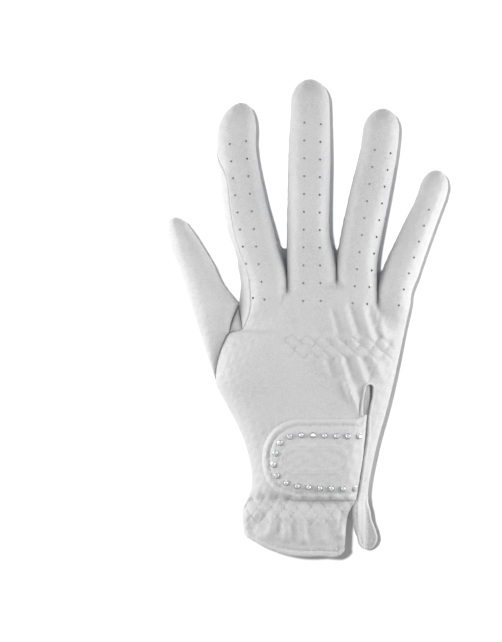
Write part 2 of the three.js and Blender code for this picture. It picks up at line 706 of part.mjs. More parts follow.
function solidOf(geometry) {
  const merged = geometry.clone();
  merged.deleteAttribute("normal");
  merged.deleteAttribute("uv");
  const clean = mergeVertices(merged, 1e-4);
  return new wasm.Manifold(new wasm.Mesh({
    numProp: 3,
    vertProperties: new Float32Array(clean.attributes.position.array),
    triVerts: new Uint32Array(clean.index.array),
  }));
}

// A solid's faces as a geometry. Edges too short to matter, left by a cut, shrink to a point.
function geometryFromSolid(solid) {
  const { vertProperties, triVerts } = solid.getMesh();
  const count = vertProperties.length / 3;
  const owner = Array.from({ length: count }, (unused, i) => i);
  const find = (i) => (owner[i] === i ? i : (owner[i] = find(owner[i])));
  const at = (i) => new THREE.Vector3().fromArray(vertProperties, 3 * i);
  for (let k = 0; k < triVerts.length; k += 1) {
    const a = find(triVerts[k]);
    const b = find(triVerts[k % 3 === 2 ? k - 2 : k + 1]);
    if (a !== b && at(a).distanceTo(at(b)) < shortestEdge) owner[Math.max(a, b)] = Math.min(a, b);
  }
  const index = [];
  for (let k = 0; k < triVerts.length; k += 3) {
    const [a, b, c] = [find(triVerts[k]), find(triVerts[k + 1]), find(triVerts[k + 2])];
    if (a !== b && b !== c && c !== a) index.push(a, b, c);
  }
  const geometry = new THREE.BufferGeometry();
  geometry.setAttribute("position", new THREE.BufferAttribute(new Float32Array(vertProperties), 3));
  geometry.setIndex(index);
  return geometry;
}

// Joins a top and a bottom grid of the same size into a closed plate.
function plateTriangles(top, bottom) {
  const rim = (rows) => {
    const last = rows.length - 1;
    const right = rows.map((row) => row[row.length - 1]);
    const left = rows.map((row) => row[0]).reverse();
    return [...rows[0].slice(0, -1), ...right.slice(0, -1), ...rows[last].slice(1).reverse(), ...left.slice(0, -1)];
  };
  const upper = rim(top);
  const lower = rim(bottom);
  const triangles = [...gridTriangles({ rows: top }, false), ...gridTriangles({ rows: bottom }, true)];
  upper.forEach((p, i) => {
    const k = (i + 1) % upper.length;
    triangles.push([p, upper[k], lower[i]], [upper[k], lower[k], lower[i]]);
  });
  return triangles;
}

const backStrips = fingers.map((finger, index) => fingerStrip(index, true));
const palmStrips = fingers.map((finger, index) => fingerStrip(index, false));
const handBack = handGrid(true, backStrips);
const handPalm = handGrid(false, palmStrips);

const stripTriangles = (strips, turned) =>
  strips.flatMap((strip) => gridTriangles({ startPole: strip.pole, rows: strip.rows }, turned));
const surfaces = {
  back_panel: weld([...stripTriangles(backStrips, false), ...gridTriangles({ rows: handBack }, false)]),
  palm_panel: weld([...stripTriangles(palmStrips, true), ...gridTriangles({ rows: handPalm }, true)]),
  fourchette_index_middle: weld(gridTriangles(fourchetteGrid(0), false)),
  fourchette_middle_ring: weld(gridTriangles(fourchetteGrid(1), false)),
  fourchette_ring_little: weld(gridTriangles(fourchetteGrid(2), false)),
  index_side_band: weld(gridTriangles(bandGrid(), true)),
  thumb: weld(gridTriangles(thumbGrid(), true)),
  thumb_gusset: weld(gridTriangles(gussetGrid(), false)),
};
const normals = sharedNormals(Object.values(surfaces));

// Height of the back's surface over a place on the ground plane.
function backTop(x, y) {
  let best = 0;
  const { points, faces } = surfaces.back_panel;
  for (const face of faces) {
    const [a, b, c] = face.map((i) => points[i]);
    const area = (b.x - a.x) * (c.y - a.y) - (c.x - a.x) * (b.y - a.y);
    if (Math.abs(area) < 1e-6) continue;
    const u = ((b.x - x) * (c.y - y) - (c.x - x) * (b.y - y)) / area;
    const v = ((c.x - x) * (a.y - y) - (a.x - x) * (c.y - y)) / area;
    const w = 1 - u - v;
    if (u >= -1e-6 && v >= -1e-6 && w >= -1e-6) best = Math.max(best, u * a.z + v * b.z + w * c.z);
  }
  return best;
}

// An upright prism over an outline, tall enough to pass through the back.
function cutterOver(outline) {
  const shape = new THREE.Shape(outline.map((p) => new THREE.Vector2(p.x, p.y)));
  return solidOf(new THREE.ExtrudeGeometry(shape, { depth: 3 * handHeight, bevelEnabled: false }));
}

// The keyhole vent's outline at a distance outside its edge: straight sides below a round top.
function keyholeOutline(offset, sideSteps, arcSteps, tail = 0) {
  const top = point(keyhole.across, keyhole.along, 0);
  const half = keyhole.width / 2 + offset;
  const straight = keyhole.length - keyhole.width / 2 + tail;
  const outline = [];
  const add = (x, y) => outline.push(new THREE.Vector2(top.x + x + (keyhole.lean * y) / keyhole.length, top.y + y));
  for (let i = 0; i < sideSteps; i += 1) add(-half, mix(-straight, 0, i / sideSteps));
  for (let i = 0; i <= arcSteps; i += 1) {
    const angle = Math.PI * (1 - i / arcSteps);
    add(half * Math.cos(angle), half * Math.sin(angle));
  }
  for (let i = 1; i <= sideSteps; i += 1) add(half, mix(0, -straight, i / sideSteps));
  return outline;
}

function slitOutline() {
  const side = (offset) => slitLine.map((s) => new THREE.Vector2(acrossAt(s.across) + offset, alongAt(s.along)));
  const mouth = slitMouth.map((s) => new THREE.Vector2(acrossAt(s.across) - slitWidth / 2, alongAt(s.along)));
  const beyond = palmWidth * 0.6;
  const foot = alongAt(slitLine[slitLine.length - 1].along);
  const outside = [new THREE.Vector2(beyond, mouth[mouth.length - 1].y), new THREE.Vector2(beyond, foot)];
  return [...side(-slitWidth / 2), ...mouth.slice(1), ...outside, ...side(slitWidth / 2).reverse()];
}

// The holes in the fingers' backs: two rows down each finger and one down the little finger.
function holePlaces() {
  const places = [];
  fingers.forEach((finger, index) => {
    const rows = outlines[finger.name];
    const set = seams[index];
    const length = set.pole.y - (set.backLeft[fingerRows - 1].y + set.backRight[fingerRows - 1].y) / 2;
    for (const { offset, start, count } of holeRows[finger.name]) {
      for (let i = 0; i < count; i += 1) {
        const distance = start + i * holePitch;
        const share = Math.min(1, distance / length);
        const spread = offset * finger.width * mix(1, holeRowSpread, share);
        const x = set.pole.x + readTable(rows, "along", "centre", share) * finger.width + spread;
        places.push({ x, y: set.pole.y - distance });
      }
    }
  });
  return places;
}

// The largest piece of a solid, without crumbs that a cut left loose.
function largestPart(solid) {
  return solid.decompose().reduce((best, part) => (part.volume() > best.volume() ? part : best));
}

// A panel whose wall is trimmed where it would run into its neighbours' walls at a tight corner.
function panelGeometry(name, ...neighbours) {
  let solid = solidOf(geometryOf(thicken(surfaces[name])));
  for (const neighbour of neighbours) {
    solid = solid.subtract(solidOf(geometryOf(thicken(surfaces[neighbour], 0, seamGap / 2))));
  }
  return geometryFromSolid(largestPart(solid));
}

function backPanelGeometry() {
  let solid = solidOf(geometryOf(thicken(surfaces.back_panel)));
  solid = solid.subtract(cutterOver(slitOutline()));
  solid = solid.subtract(cutterOver(keyholeOutline(bindingWidth + seamGap, 2, 8, bindingWidth)));
  for (const { x, y } of holePlaces()) {
    const ring = [];
    for (let i = 0; i < holeSides; i += 1) {
      const angle = (2 * Math.PI * i) / holeSides;
      ring.push({ x: x + (holeDiameter / 2) * Math.cos(angle), y: y + (holeDiameter / 2) * Math.sin(angle) });
    }
    solid = solid.subtract(cutterOver(ring));
  }
  return geometryFromSolid(solid);
}

// Right end of the strap, over the middle of the slit.
const strapRightAt = (y) => acrossAt(readSlit(y));

function readSlit(y) {
  const rows = slitLine.map((s) => ({ at: -alongAt(s.along), across: s.across }));
  return readTable(rows, "at", "across", -y);
}

// Left end of the strap at a height over its middle line: a straight end with two big round corners.
function strapLeftAt(v) {
  const beyond = Math.max(0, Math.abs(v) - (strapWidth / 2 - strapEndRadius));
  const round = strapEndRadius - Math.sqrt(strapEndRadius ** 2 - Math.min(beyond, strapEndRadius) ** 2);
  return acrossAt(strapPlace.across) - strapLength + round;
}

const strapMiddle = alongAt(strapPlace.along);

// Height on which a stone stands: the strap's highest place under its round foot.
function stoneSeat(x, y) {
  const reach = stoneDiameter / 2;
  const spots = [[0, 0], [reach, 0], [-reach, 0], [0, reach], [0, -reach]];
  const highest = Math.max(...spots.map(([dx, dy]) => backTop(x + dx, y + dy)));
  return highest + seamGap + strapLift + strapThickness + seamGap / 2;
}

// The strap: a thick padded tab over the slit, thinner at its rolled rim.
function strapGeometry() {
  const top = [];
  const bottom = [];
  for (let i = 0; i <= strapRows; i += 1) {
    const v = (strapWidth / 2) * Math.sin((Math.PI / 2) * (1 - (2 * i) / strapRows));
    const y = strapMiddle + v;
    const left = strapLeftAt(v);
    const right = strapRightAt(y);
    const upper = [];
    const lower = [];
    for (let j = 0; j <= strapColumns; j += 1) {
      const x = mix(left, right, (1 - Math.cos((Math.PI * j) / strapColumns)) / 2);
      const under = backTop(x, y) + seamGap + strapLift;
      const onRim = i === 0 || i === strapRows || j === 0;
      upper.push(new THREE.Vector3(x, y, under + strapThickness * (onRim ? 0.6 : 1)));
      lower.push(new THREE.Vector3(x, y, under));
    }
    top.push(upper);
    bottom.push(lower);
  }
  return geometryOf(plateTriangles(top, bottom));
}

// Places of the stones: along the strap's top side, round its left end and back along the bottom.
function stonePlaces() {
  const radiusX = strapEndRadius - stoneInset;
  const radiusY = strapWidth / 2 - stoneInset;
  const turn = acrossAt(strapPlace.across) - strapLength + strapEndRadius;
  const places = [];
  const side = (v) => {
    const last = strapRightAt(strapMiddle + v) - stoneEndInset;
    for (let i = 0; i < stonesPerSide; i += 1) places.push({ x: mix(turn, last, i / (stonesPerSide - 1)), v });
  };
  side(radiusY);
  for (let i = 1; i <= stonesRoundEnd; i += 1) {
    const angle = (Math.PI * i) / (stonesRoundEnd + 1);
    places.push({ x: turn - radiusX * Math.sin(angle), v: radiusY * Math.cos(angle) });
  }
  side(-radiusY);
  return places;
}

// A round stone in its low cup, with a flat table and slanted facets round it.
function stoneGeometry() {
  const radius = stoneDiameter / 2;
  const profile = [
    new THREE.Vector2(0, 0),
    new THREE.Vector2(radius * 0.9, 0),
    new THREE.Vector2(radius, stoneHeight * 0.5),
    new THREE.Vector2(radius * 0.55, stoneHeight),
    new THREE.Vector2(0, stoneHeight),
  ];
  return new THREE.LatheGeometry(profile, stoneSides).rotateX(Math.PI / 2);
}

// The bead that binds the keyhole: a round section swept along its edge over the back's surface.
function bindingGeometry() {
  const path = keyholeOutline(bindingWidth / 2, 4, 8);
  const points = path.map((p) => new THREE.Vector3(p.x, p.y, bindingHeightAt(p)));
  const rows = points.map((p, i) => {
    const next = points[Math.min(i + 1, points.length - 1)];
    const last = points[Math.max(i - 1, 0)];
    const along = next.clone().sub(last).normalize();
    const side = new THREE.Vector3(-along.y, along.x, 0).normalize();
    const up = along.clone().cross(side).normalize();
    const row = [];
    for (let j = 0; j <= bindingSides; j += 1) {
      const angle = (2 * Math.PI * (j % bindingSides)) / bindingSides;
      const q = p.clone().addScaledVector(side, (bindingWidth / 2) * Math.cos(angle));
      row.push(q.addScaledVector(up, (bindingHeight / 2) * Math.sin(angle)));
    }
    return row;
  });
  return geometryOf(gridTriangles({ startPole: points[0], rows, endPole: points[points.length - 1] }, true));
}

function bindingHeightAt(p) {
  const top = point(keyhole.across, keyhole.along, 0);
  return backTop(mix(top.x, p.x, 1.4), p.y) - bindingHeight * 0.15;
}

// The pull tab below the slit: a flat strip that widens to a round end and droops a little. Its
// upper end lies against the back's cut edge and follows its slope.
function tabGeometry() {
  const startX = acrossAt(tabPlace.across);
  const startY = alongAt(slitLine[slitLine.length - 1].along) - seamGap;
  const top = [];
  const bottom = [];
  for (let i = 0; i <= tabRows; i += 1) {
    const t = Math.sin((Math.PI / 2) * (i / tabRows));
    const beyond = Math.max(0, t * tabLength - (tabLength - tabWidth / 2));
    const round = Math.sqrt(Math.max(0.02, 1 - (beyond / (tabWidth / 2)) ** 2));
    const half = (tabWidth / 2) * mix(tabPlace.neck, 1, ease(t / 0.6)) * round;
    const upper = [];
    const lower = [];
    for (let j = 0; j <= tabColumns; j += 1) {
      const side = (2 * j) / tabColumns - 1;
      const p = new THREE.Vector3(startX + tabPlace.lean * t + side * half, startY - t * tabLength, 0);
      p.z = backTop(startX, startY + 1) - wall - tabDroop * t ** 2 - tabPlace.slope * side * half;
      lower.push(p);
      upper.push(p.clone().setZ(p.z + tabThickness));
    }
    top.push(upper);
    bottom.push(lower);
  }
  return geometryOf(plateTriangles(top, bottom));
}

const glove = new THREE.Group();
glove.name = "riding_glove";

function addPiece(name, geometry, material) {
  const mesh = new THREE.Mesh(geometry, material);
  mesh.name = name;
  glove.add(mesh);
  return mesh;
}

addPiece("back_panel", backPanelGeometry(), leatherMaterial);
addPiece("palm_panel", panelGeometry("palm_panel"), leatherMaterial);
for (const name of ["fourchette_index_middle", "fourchette_middle_ring", "fourchette_ring_little"]) {
  addPiece(name, panelGeometry(name, "back_panel", "palm_panel"), fourchetteMaterial);
}
addPiece("index_side_band", panelGeometry("index_side_band", "back_panel", "palm_panel"), trimMaterial);
addPiece("thumb", panelGeometry("thumb", "back_panel", "palm_panel"), leatherMaterial);
const gussetNeighbours = ["back_panel", "palm_panel", "index_side_band", "thumb"];
addPiece("thumb_gusset", panelGeometry("thumb_gusset", ...gussetNeighbours), leatherMaterial);
addPiece("wrist_strap", strapGeometry(), trimMaterial);
addPiece("keyhole_binding", bindingGeometry(), trimMaterial);
addPiece("pull_tab", tabGeometry(), trimMaterial);
stonePlaces().forEach(({ x, v }, i) => {
  const stone = addPiece(`stone_${String(i + 1).padStart(2, "0")}`, stoneGeometry(), stoneMaterial);
  const y = strapMiddle + v;
  stone.position.set(x, y, stoneSeat(x, y));
});

export default glove;
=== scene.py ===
"""Looks of a white riding glove for the right hand, lying on its palm with its back up.

The panels are cut and sewn like the real glove's. Each one is a surface worked out on a fine grid
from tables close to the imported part's, rolled in along its seams and given its wall. Lengths are
millimetres until a mesh is made, +X towards the little finger, +Y towards the fingertips, +Z up.
"""

import math

import bpy
import numpy as np
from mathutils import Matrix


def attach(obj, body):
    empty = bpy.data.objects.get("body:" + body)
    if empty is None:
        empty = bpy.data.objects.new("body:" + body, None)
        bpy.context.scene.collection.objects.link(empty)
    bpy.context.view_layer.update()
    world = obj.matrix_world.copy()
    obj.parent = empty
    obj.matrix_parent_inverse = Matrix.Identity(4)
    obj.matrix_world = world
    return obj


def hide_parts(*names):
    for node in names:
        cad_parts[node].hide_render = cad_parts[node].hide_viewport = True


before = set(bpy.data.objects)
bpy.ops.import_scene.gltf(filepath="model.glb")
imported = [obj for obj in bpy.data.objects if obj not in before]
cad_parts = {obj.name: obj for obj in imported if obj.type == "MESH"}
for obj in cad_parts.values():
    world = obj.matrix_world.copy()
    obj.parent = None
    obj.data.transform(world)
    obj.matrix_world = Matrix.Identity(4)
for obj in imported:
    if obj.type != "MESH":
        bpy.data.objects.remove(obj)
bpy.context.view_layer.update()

# The glove's own sizes. Places in the tables are shares of the palm's width and of the hand's
# length from the hem, and the share PALM_REST lies at Y = 0
WALL = 1.3
PALM_WIDTH = 85.5
HAND_LENGTH = 132.2
PALM_REST = 0.9
KNUCKLE_HEIGHT = 17.5
HAND_HEIGHT = 20
SIDE_SEAM = 8
CROTCH_HEIGHT = 12
THUMB_HEIGHT = 15.5
THUMB_RADIUS = 13
THUMB_BASE_REACH = 26.5

# Rows of the tables: round a fingertip, along its shaft and down the hand, and the hand's rows at
# which the web, the side band and the thumb end
TIP_ROWS = 5
SHAFT_ROWS = 8
FINGER_ROWS = TIP_ROWS + SHAFT_ROWS
HAND_ROWS = 22
BAND_FOOT = 4
THUMB_FOOT = 12
WEB = 2

# Fineness of the grids: steps between two rows of the tables
TIP_STEPS = 5
SHAFT_STEPS = 8
HAND_STEPS = 7
BACK_COLUMNS = 22
PALM_COLUMNS = 14
SIDE_COLUMNS = 8
THUMB_COLUMNS = 64

# Distances from a seam, for the rows and columns that shape its roll
SEAM_STEPS = np.array([0, 0.14, 0.32, 0.56, 0.88, 1.3])
SEAM_ROLL = 1.1
SEAM_DEPTH = 0.62
HEM_ROLL = 0.8

# Sewn edges: how far in the pressed line runs, how deep it is pulled in and how wide it is, and
# how far the turned edge beside it stands up
SEWN_IN = 3.3
HEM = dict(line=3.2, pull=0.55, width=0.42, turned=0.3)
FLAP_SIDE = dict(line=SEWN_IN, pull=0.4, width=0.45, turned=0.25)

# Stitches: the share of their pitch that the thread shows, and how deep it sinks in
STITCH_SHARE = 0.78
STITCH_SINK = 0.05

# The lowest that a piece lies over the ground, and the height of the small creases
CLEARANCE = 0.02
CREASE_HEIGHT = 0.05

# Seams of a finger: the share of its thickness at which they run round the tip, and below the tip
# their places as shares of its half width and of its thickness
TIP_MIDDLE = 0.45
BACK_INSET = 0.99
PALM_INSET = 0.84
BAND_INSET = (0.69, 0.83)
BACK_SEAM_RISE = 0.62
BAND_SEAM_RISE = 0.93
PALM_SEAM_HEIGHT = 1.1


def table(columns, *rows):
    """Named columns of numbers, one array each."""
    return dict(zip(columns.split(), np.array(rows, float).T))


FINGERS = ("index", "middle", "ring", "little")
FINGER = {
    "index": dict(tip_x=-0.392, tip_y=1.712, width=22, thickness=14.5, radius=15),
    "middle": dict(tip_x=0.009, tip_y=1.801, width=21.5, thickness=15, radius=11),
    "ring": dict(tip_x=0.43, tip_y=1.69, width=21, thickness=14.5, radius=11),
    "little": dict(tip_x=0.749, tip_y=1.457, width=18.5, thickness=12.5, radius=10),
}
OUTLINE = {
    "index": table(
        "along centre half",
        (0, 0, 0.42), (0.13, -0.095, 0.435), (0.26, -0.11, 0.45), (0.53, 0.075, 0.482),
        (0.69, 0.24, 0.505), (0.85, 0.41, 0.505), (1, 0.495, 0.52),
    ),
    "middle": table(
        "along centre half",
        (0, 0, 0.43), (0.2, 0, 0.465), (0.35, -0.01, 0.488),
        (0.72, -0.04, 0.495), (0.9, -0.015, 0.54), (1, 0.03, 0.58),
    ),
    "ring": table(
        "along centre half",
        (0, 0.02, 0.42), (0.22, -0.07, 0.446), (0.5, -0.32, 0.482),
        (0.8, -0.57, 0.49), (1, -0.63, 0.475),
    ),
    "little": table(
        "along centre half",
        (0, 0, 0.39), (0.18, -0.11, 0.4), (0.45, -0.5, 0.455),
        (0.77, -0.96, 0.52), (1, -1.14, 0.5),
    ),
}
CROTCH = table(
    "across back palm", (-0.126, 1.01, 1.117), (0.165, 1.041, 1.117), (0.405, 0.961, 1.033)
)
BACK_LEFT = table(
    "row across along edge",
    (0, -0.344, 1.011, 1.55), (1, -0.339, 0.973, 1.62), (2, -0.342, 0.927, 1.65),
    (3, -0.36, 0.89, 1.55), (4, -0.389, 0.856, 1.38), (5, -0.465, 0.84, 1.28),
    (6, -0.497, 0.803, 1.35), (7, -0.523, 0.757, 1.35), (8, -0.541, 0.704, 1.2),
    (9, -0.544, 0.651, 1), (10, -0.509, 0.602, 0.92), (11, -0.468, 0.553, 0.92),
    (12, -0.427, 0.504, 0.95), (14, -0.374, 0.421, 1), (16, -0.342, 0.337, 1.05),
    (18, -0.339, 0.254, 1.1), (20, -0.389, 0.167, 1.15), (22, -0.38, 0.08, 1.2),
)
PALM_LEFT = table(
    "row across along edge",
    (0, -0.406, 1.154, 0.35), (1, -0.39, 1.045, 0.5), (2, -0.409, 0.942, 0.8),
)
RIGHT_EDGE = table(
    "row across along edge",
    (0, 0.599, 0.954, 0.8), (3, 0.566, 0.852, 0.9), (6, 0.533, 0.752, 1),
    (9, 0.499, 0.652, 1.05), (12, 0.461, 0.553, 1.1), (16, 0.403, 0.42, 1.1),
    (20, 0.356, 0.275, 1.15), (22, 0.348, 0.209, 1.15),
)
BACK_HEM = table(
    "across along",
    (-0.38, 0.08), (-0.342, 0.062), (-0.225, 0.023), (-0.09, 0.002), (0.05, 0.001),
    (0.205, 0.018), (0.348, 0.209),
)
PALM_HEM = table(
    "across along",
    (-0.38, 0.08), (-0.28, 0.096), (-0.1, 0.126), (0.07, 0.165), (0.22, 0.2), (0.348, 0.209),
)
BACK_HEIGHT = table(
    "row height", (0, 0.875), (4, 0.98), (9, 1.03), (14, 1), (18, 0.93), (22, 1)
)
THUMB_OUTLINE = table(
    "along left right",
    (0, -0.01, 0.01), (0.02, -0.026, 0.036), (0.06, -0.043, 0.064), (0.14, -0.048, 0.095),
    (0.3, -0.034, 0.15), (0.5, 0.005, 0.212), (0.75, 0.05, 0.277), (1, 0.094, 0.382),
)
THUMB_TIP = (-0.778, 1.278)
THUMB_SIDE = table(
    "row across",
    (3, -0.684), (4, -0.661), (5, -0.635), (6, -0.617), (7, -0.594), (8, -0.567),
    (9, -0.546), (10, -0.509), (11, -0.468), (12, -0.427),
)
# The gusset's two sides, from the web down: shares of the palm's width, the hand and the seam
GUSSET_MIDDLE = dict(left=(-0.444, 0.893, 1.02), right=(-0.396, 0.897, 1.02))

# Folds of the back: from one end to the other, height and width in walls
FOLDS = table(
    "x0 y0 x1 y1 height width",
    (0.087, 0.955, 0.155, 0.8, 0.6, 2), (0.188, 0.965, 0.256, 0.8, 0.75, 2),
    (0.29, 0.985, 0.367, 0.8, 0.85, 2), (0.395, 0.955, 0.446, 0.8, 0.7, 2),
    (0.14, 0.935, 0.202, 0.81, -0.4, 1.8), (0.24, 0.95, 0.305, 0.81, -0.5, 1.8),
    (0.338, 0.93, 0.4, 0.81, -0.45, 1.8), (-0.1, 0.95, -0.05, 0.82, -0.4, 3),
    (-0.15, 0.85, 0.44, 0.83, -0.35, 2.6), (-0.2, 0.79, 0.46, 0.79, -0.3, 2.6),
    (0.068, 0.775, 0.105, 0.67, 0.6, 1.9), (0.163, 0.775, 0.263, 0.575, 1, 2),
    (0.26, 0.775, 0.326, 0.65, 0.8, 1.9), (0.355, 0.775, 0.418, 0.675, 0.7, 2),
    (0.215, 0.665, 0.298, 0.53, 0.8, 1.8), (0.277, 0.64, 0.312, 0.53, -0.6, 1.5),
    (0.21, 0.75, 0.262, 0.65, -0.5, 1.7), (0.112, 0.75, 0.16, 0.65, -0.4, 1.8),
    (0.307, 0.75, 0.366, 0.67, -0.4, 1.7), (-0.38, 0.21, 0.2, 0.2, -1.5, 3.2),
    (-0.383, 0.095, -0.36, 0.19, 0.9, 2.2), (-0.342, 0.133, -0.28, 0.2, 0.9, 2.2),
    (-0.25, 0.06, -0.19, 0.17, 1, 2.6), (-0.14, 0.05, -0.12, 0.17, 1, 2.6),
    (-0.03, 0.04, -0.04, 0.16, 1, 2.6), (0.08, 0.04, 0.05, 0.16, 1, 2.6),
    (0.18, 0.06, 0.14, 0.16, 0.9, 2.4),
)

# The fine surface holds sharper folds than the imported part's coarse grid
FOLD_GAIN = 1.15
FOLD_WIDTH = 0.74

# Zigzag rows sewn over elastic, in millimetres: the row's ends, one wave, its swing, how deep the
# stitches pull in, and how high the leather puckers between them
GATHERS = table(
    "x0 y0 x1 y1 wave swing groove pucker pleat reach",
    (-12, -10, 41, -11.5, 7.4, 1.9, 0.5, 0.24, 0.14, 9),
    (-11, -14.2, 41, -15.6, 7.4, -1.9, 0.55, 0.3, 0, 1),
    (-10, -18.4, 41, -19.8, 7.4, 1.9, 0.5, 0.26, 0.16, -11),
    (-32, -92.5, 21, -91.5, 6.6, 2.3, 0.4, 0.26, 0.3, 9),
    (-32, -96.9, 20, -96.1, 6.6, -2.3, 0.4, 0.3, 0, 1),
    (-32, -101.3, 19, -100.6, 6.6, 2.3, 0.4, 0.26, 0.42, -14),
)
PALM_GATHERS = table(
    "x0 y0 x1 y1 wave swing groove pucker pleat reach",
    (-27, -84, 26, -76, 6.6, 1.7, 0.3, 0.2, 0.2, 9),
    (-27, -88, 27, -80, 6.6, -1.7, 0.3, 0.2, 0.25, -11),
)

SLIT_LINE = table(
    "across along", (0.342, 0.56), (0.334, 0.45), (0.314, 0.36), (0.29, 0.25), (0.272, 0.2)
)
SLIT_MOUTH = table(
    "across along", (0.272, 0.203), (0.234, 0.16), (0.217, 0.07), (0.21, -0.05)
)
SLIT_WIDTH = 0.8
HOLE_DIAMETER = 1.05
HOLE_DEPTH = 0.95
HOLES_AT = table(
    "x0 y0 x1 y1 bow count",
    (-39.3, 86.3, -27.7, 9.6, -1.3, 10), (-31.3, 87.8, -22, 8.8, -1.2, 10),
    (-2.1, 96.9, -2.8, 8, 0.1, 11), (6, 96.2, 6, 8.1, -0.6, 11),
    (33, 83.3, 21.8, 6.9, -0.3, 10), (40.8, 81.8, 29, 6.6, -0.4, 10),
    (60, 53.6, 44.8, 5.9, 0, 7),
)
KEYHOLE = dict(across=0.352, along=0.633, length=13.6)
KEYHOLE_SHAPE = table(
    "down half shift", (0, 1.7, 0), (0.3, 2.05, -0.5), (0.65, 1.75, -1.3), (1, 1.3, -1.75)
)
BINDING_WIDTH = 1.35
BINDING_HEIGHT = 1.5
STRAP = dict(across=0.285, along=0.3645, length=47.6, width=41, radius=19)
STRAP_LIFT = 0.3
BORDER = dict(middle=26, half_length=9.5, radii=(5.2, 6.8), height=0.28, width=0.45)
STONE_COUNT = 18
STONE_LINE = np.array([
    [25, -59.3], [9.8, -58.8], [-5.2, -58.6], [-10.7, -60], [-14.5, -63.1], [-16.7, -68.5],
    [-17.4, -74.2], [-15.5, -79.2], [-10.5, -82.6], [-5.2, -84], [8.5, -85], [22.8, -85.4],
])
# The pull tab: middle line and half width at distances down from the frame's middle
TAB = table(
    "at centre half",
    (89.6, 27.1, 2.8), (92.5, 26.2, 3.6), (96.4, 26.3, 4.5), (101.4, 26.9, 4.8),
    (106.4, 28.2, 5.4), (109.9, 29.4, 5.1),
)
TAB_FOOT = -116.2
TAB_DROOP = 4
TAB_THICKNESS = 1.9
UNDERLAY_THICKNESS = 0.6

# Camera: its focal length in millimetres and its place in metres
LENS = 220
CAMERA_PLACE = (-0.02875, -0.0019, 1.97)


def mix(a, b, t):
    """The value a share t of the way from a to b."""
    return a + (b - a) * t


def ease(t):
    """Smooth step: 0 below 0, 1 above 1, and level at both."""
    t = np.clip(t, 0, 1)
    return t * t * (3 - 2 * t)


def read(rows, key, column, at):
    """A column between its rows: a cubic through each two rows, whose slope at a row is that of the
    straight line from the row before it to the row after it."""
    x, y = rows[key], rows[column]
    before = np.maximum(np.arange(len(x)) - 1, 0)
    after = np.minimum(np.arange(len(x)) + 1, len(x) - 1)
    slope = (y[after] - y[before]) / (x[after] - x[before])
    at = np.clip(np.asarray(at, float), x[0], x[-1])
    i = np.clip(np.searchsorted(x, at) - 1, 0, len(x) - 2)
    span = x[i + 1] - x[i]
    t = (at - x[i]) / span
    start = (2 * t**3 - 3 * t**2 + 1) * y[i] + (t**3 - 2 * t**2 + t) * span * slope[i]
    end = (3 * t**2 - 2 * t**3) * y[i + 1] + (t**3 - t**2) * span * slope[i + 1]
    return start + end


def across(share):
    """Millimetres across from a share of the palm's width."""
    return np.asarray(share) * PALM_WIDTH


def along(share):
    """Millimetres along from a share of the hand's length."""
    return (np.asarray(share) - PALM_REST) * HAND_LENGTH


def spot(share_x, share_y, z):
    """Points from shares of the palm's width and of the hand's length, and a height."""
    return np.stack(np.broadcast_arrays(across(share_x), along(share_y), z), -1).astype(float)


def unit(rows):
    """Rows scaled to length 1."""
    return rows / np.maximum(np.linalg.norm(rows, axis=-1), 1e-12)[..., None]


def dome(distance, radius):
    """Share of the full width at a distance from a round tip: a quarter circle."""
    return np.sqrt(1 - (1 - np.clip(distance / radius, 0, 1)) ** 2)


def through(points, at):
    """A smooth curve through points, one at each whole number."""
    steps = np.arange(len(points), dtype=float)
    rows = dict(at=steps, x=points[:, 0], y=points[:, 1], z=points[:, 2])
    return np.stack([read(rows, "at", axis, at) for axis in "xyz"], -1)


def arch(start, stop, crown, fullness, power, share):
    """Rows of points from one seam to the other over a superellipse: sideways as the sine and up as
    the cosine of an angle that runs evenly, both raised to 2 / power. fullness 1 has upright sides.
    The crown is the middle's height, and below the surface that carries the glove it flattens."""
    start, stop = start[:, None], stop[:, None]
    crown, fullness = np.asarray(crown, float), np.asarray(fullness, float)
    crown = crown[:, None] if crown.ndim else crown
    fullness = fullness[:, None] if fullness.ndim else fullness
    limit = np.arcsin(fullness ** (power / 2))
    rim = np.cos(limit) ** (2 / power)
    angle = limit * (2 * share - 1)
    side = np.sign(angle) * np.abs(np.sin(angle)) ** (2 / power) / fullness
    rise = (np.maximum(0, np.cos(angle)) ** (2 / power) - rim) / (1 - rim)
    p = start + (stop - start) * ((side + 1) / 2)[..., None]
    z = mix(p[..., 2], crown, rise)
    p[..., 2] = np.where(z < 2, (z + np.sqrt(z * z + 0.2)) / 2, z)
    p[:, 0], p[:, -1] = start[:, 0], stop[:, 0]
    return p


def arc_length(rows):
    """Length along each row up to each of its points."""
    steps = np.linalg.norm(np.diff(rows, axis=1), axis=-1)
    return np.concatenate([np.zeros((len(rows), 1)), np.cumsum(steps, axis=1)], axis=1)


def spread(length, columns):
    """Places along a row of that length: close together by both seams and even between them."""
    near = SEAM_STEPS * min(1, 0.35 * length / SEAM_STEPS[-1])
    middle = np.linspace(near[-1], length - near[-1], columns + 1)[1:-1]
    return np.concatenate([near, middle, length - near[::-1]])


def resample(dense, columns, *others):
    """Spreads each dense row's points over its length as spread() says. Also reads other values
    that run along the dense rows."""
    lengths = arc_length(dense)
    made = [[] for unused in range(1 + len(others))]
    for row, length, *values in zip(dense, lengths, *others):
        at = spread(length[-1], columns)
        made[0].append(np.stack([np.interp(at, length, row[:, k]) for k in range(3)], -1))
        for store, value in zip(made[1:], values):
            store.append(np.interp(at, length, value))
    return [np.array(m) for m in made]


def row_distance(rows, radius, length):
    """Distance from a fingertip: a power curve over the round tip, then even steps to the seam's
    end."""
    reach = radius * 1.45
    tip = reach * (np.minimum(rows, TIP_ROWS) / TIP_ROWS) ** 1.7
    return np.where(rows <= TIP_ROWS, tip, mix(reach, length, (rows - TIP_ROWS) / SHAFT_ROWS))


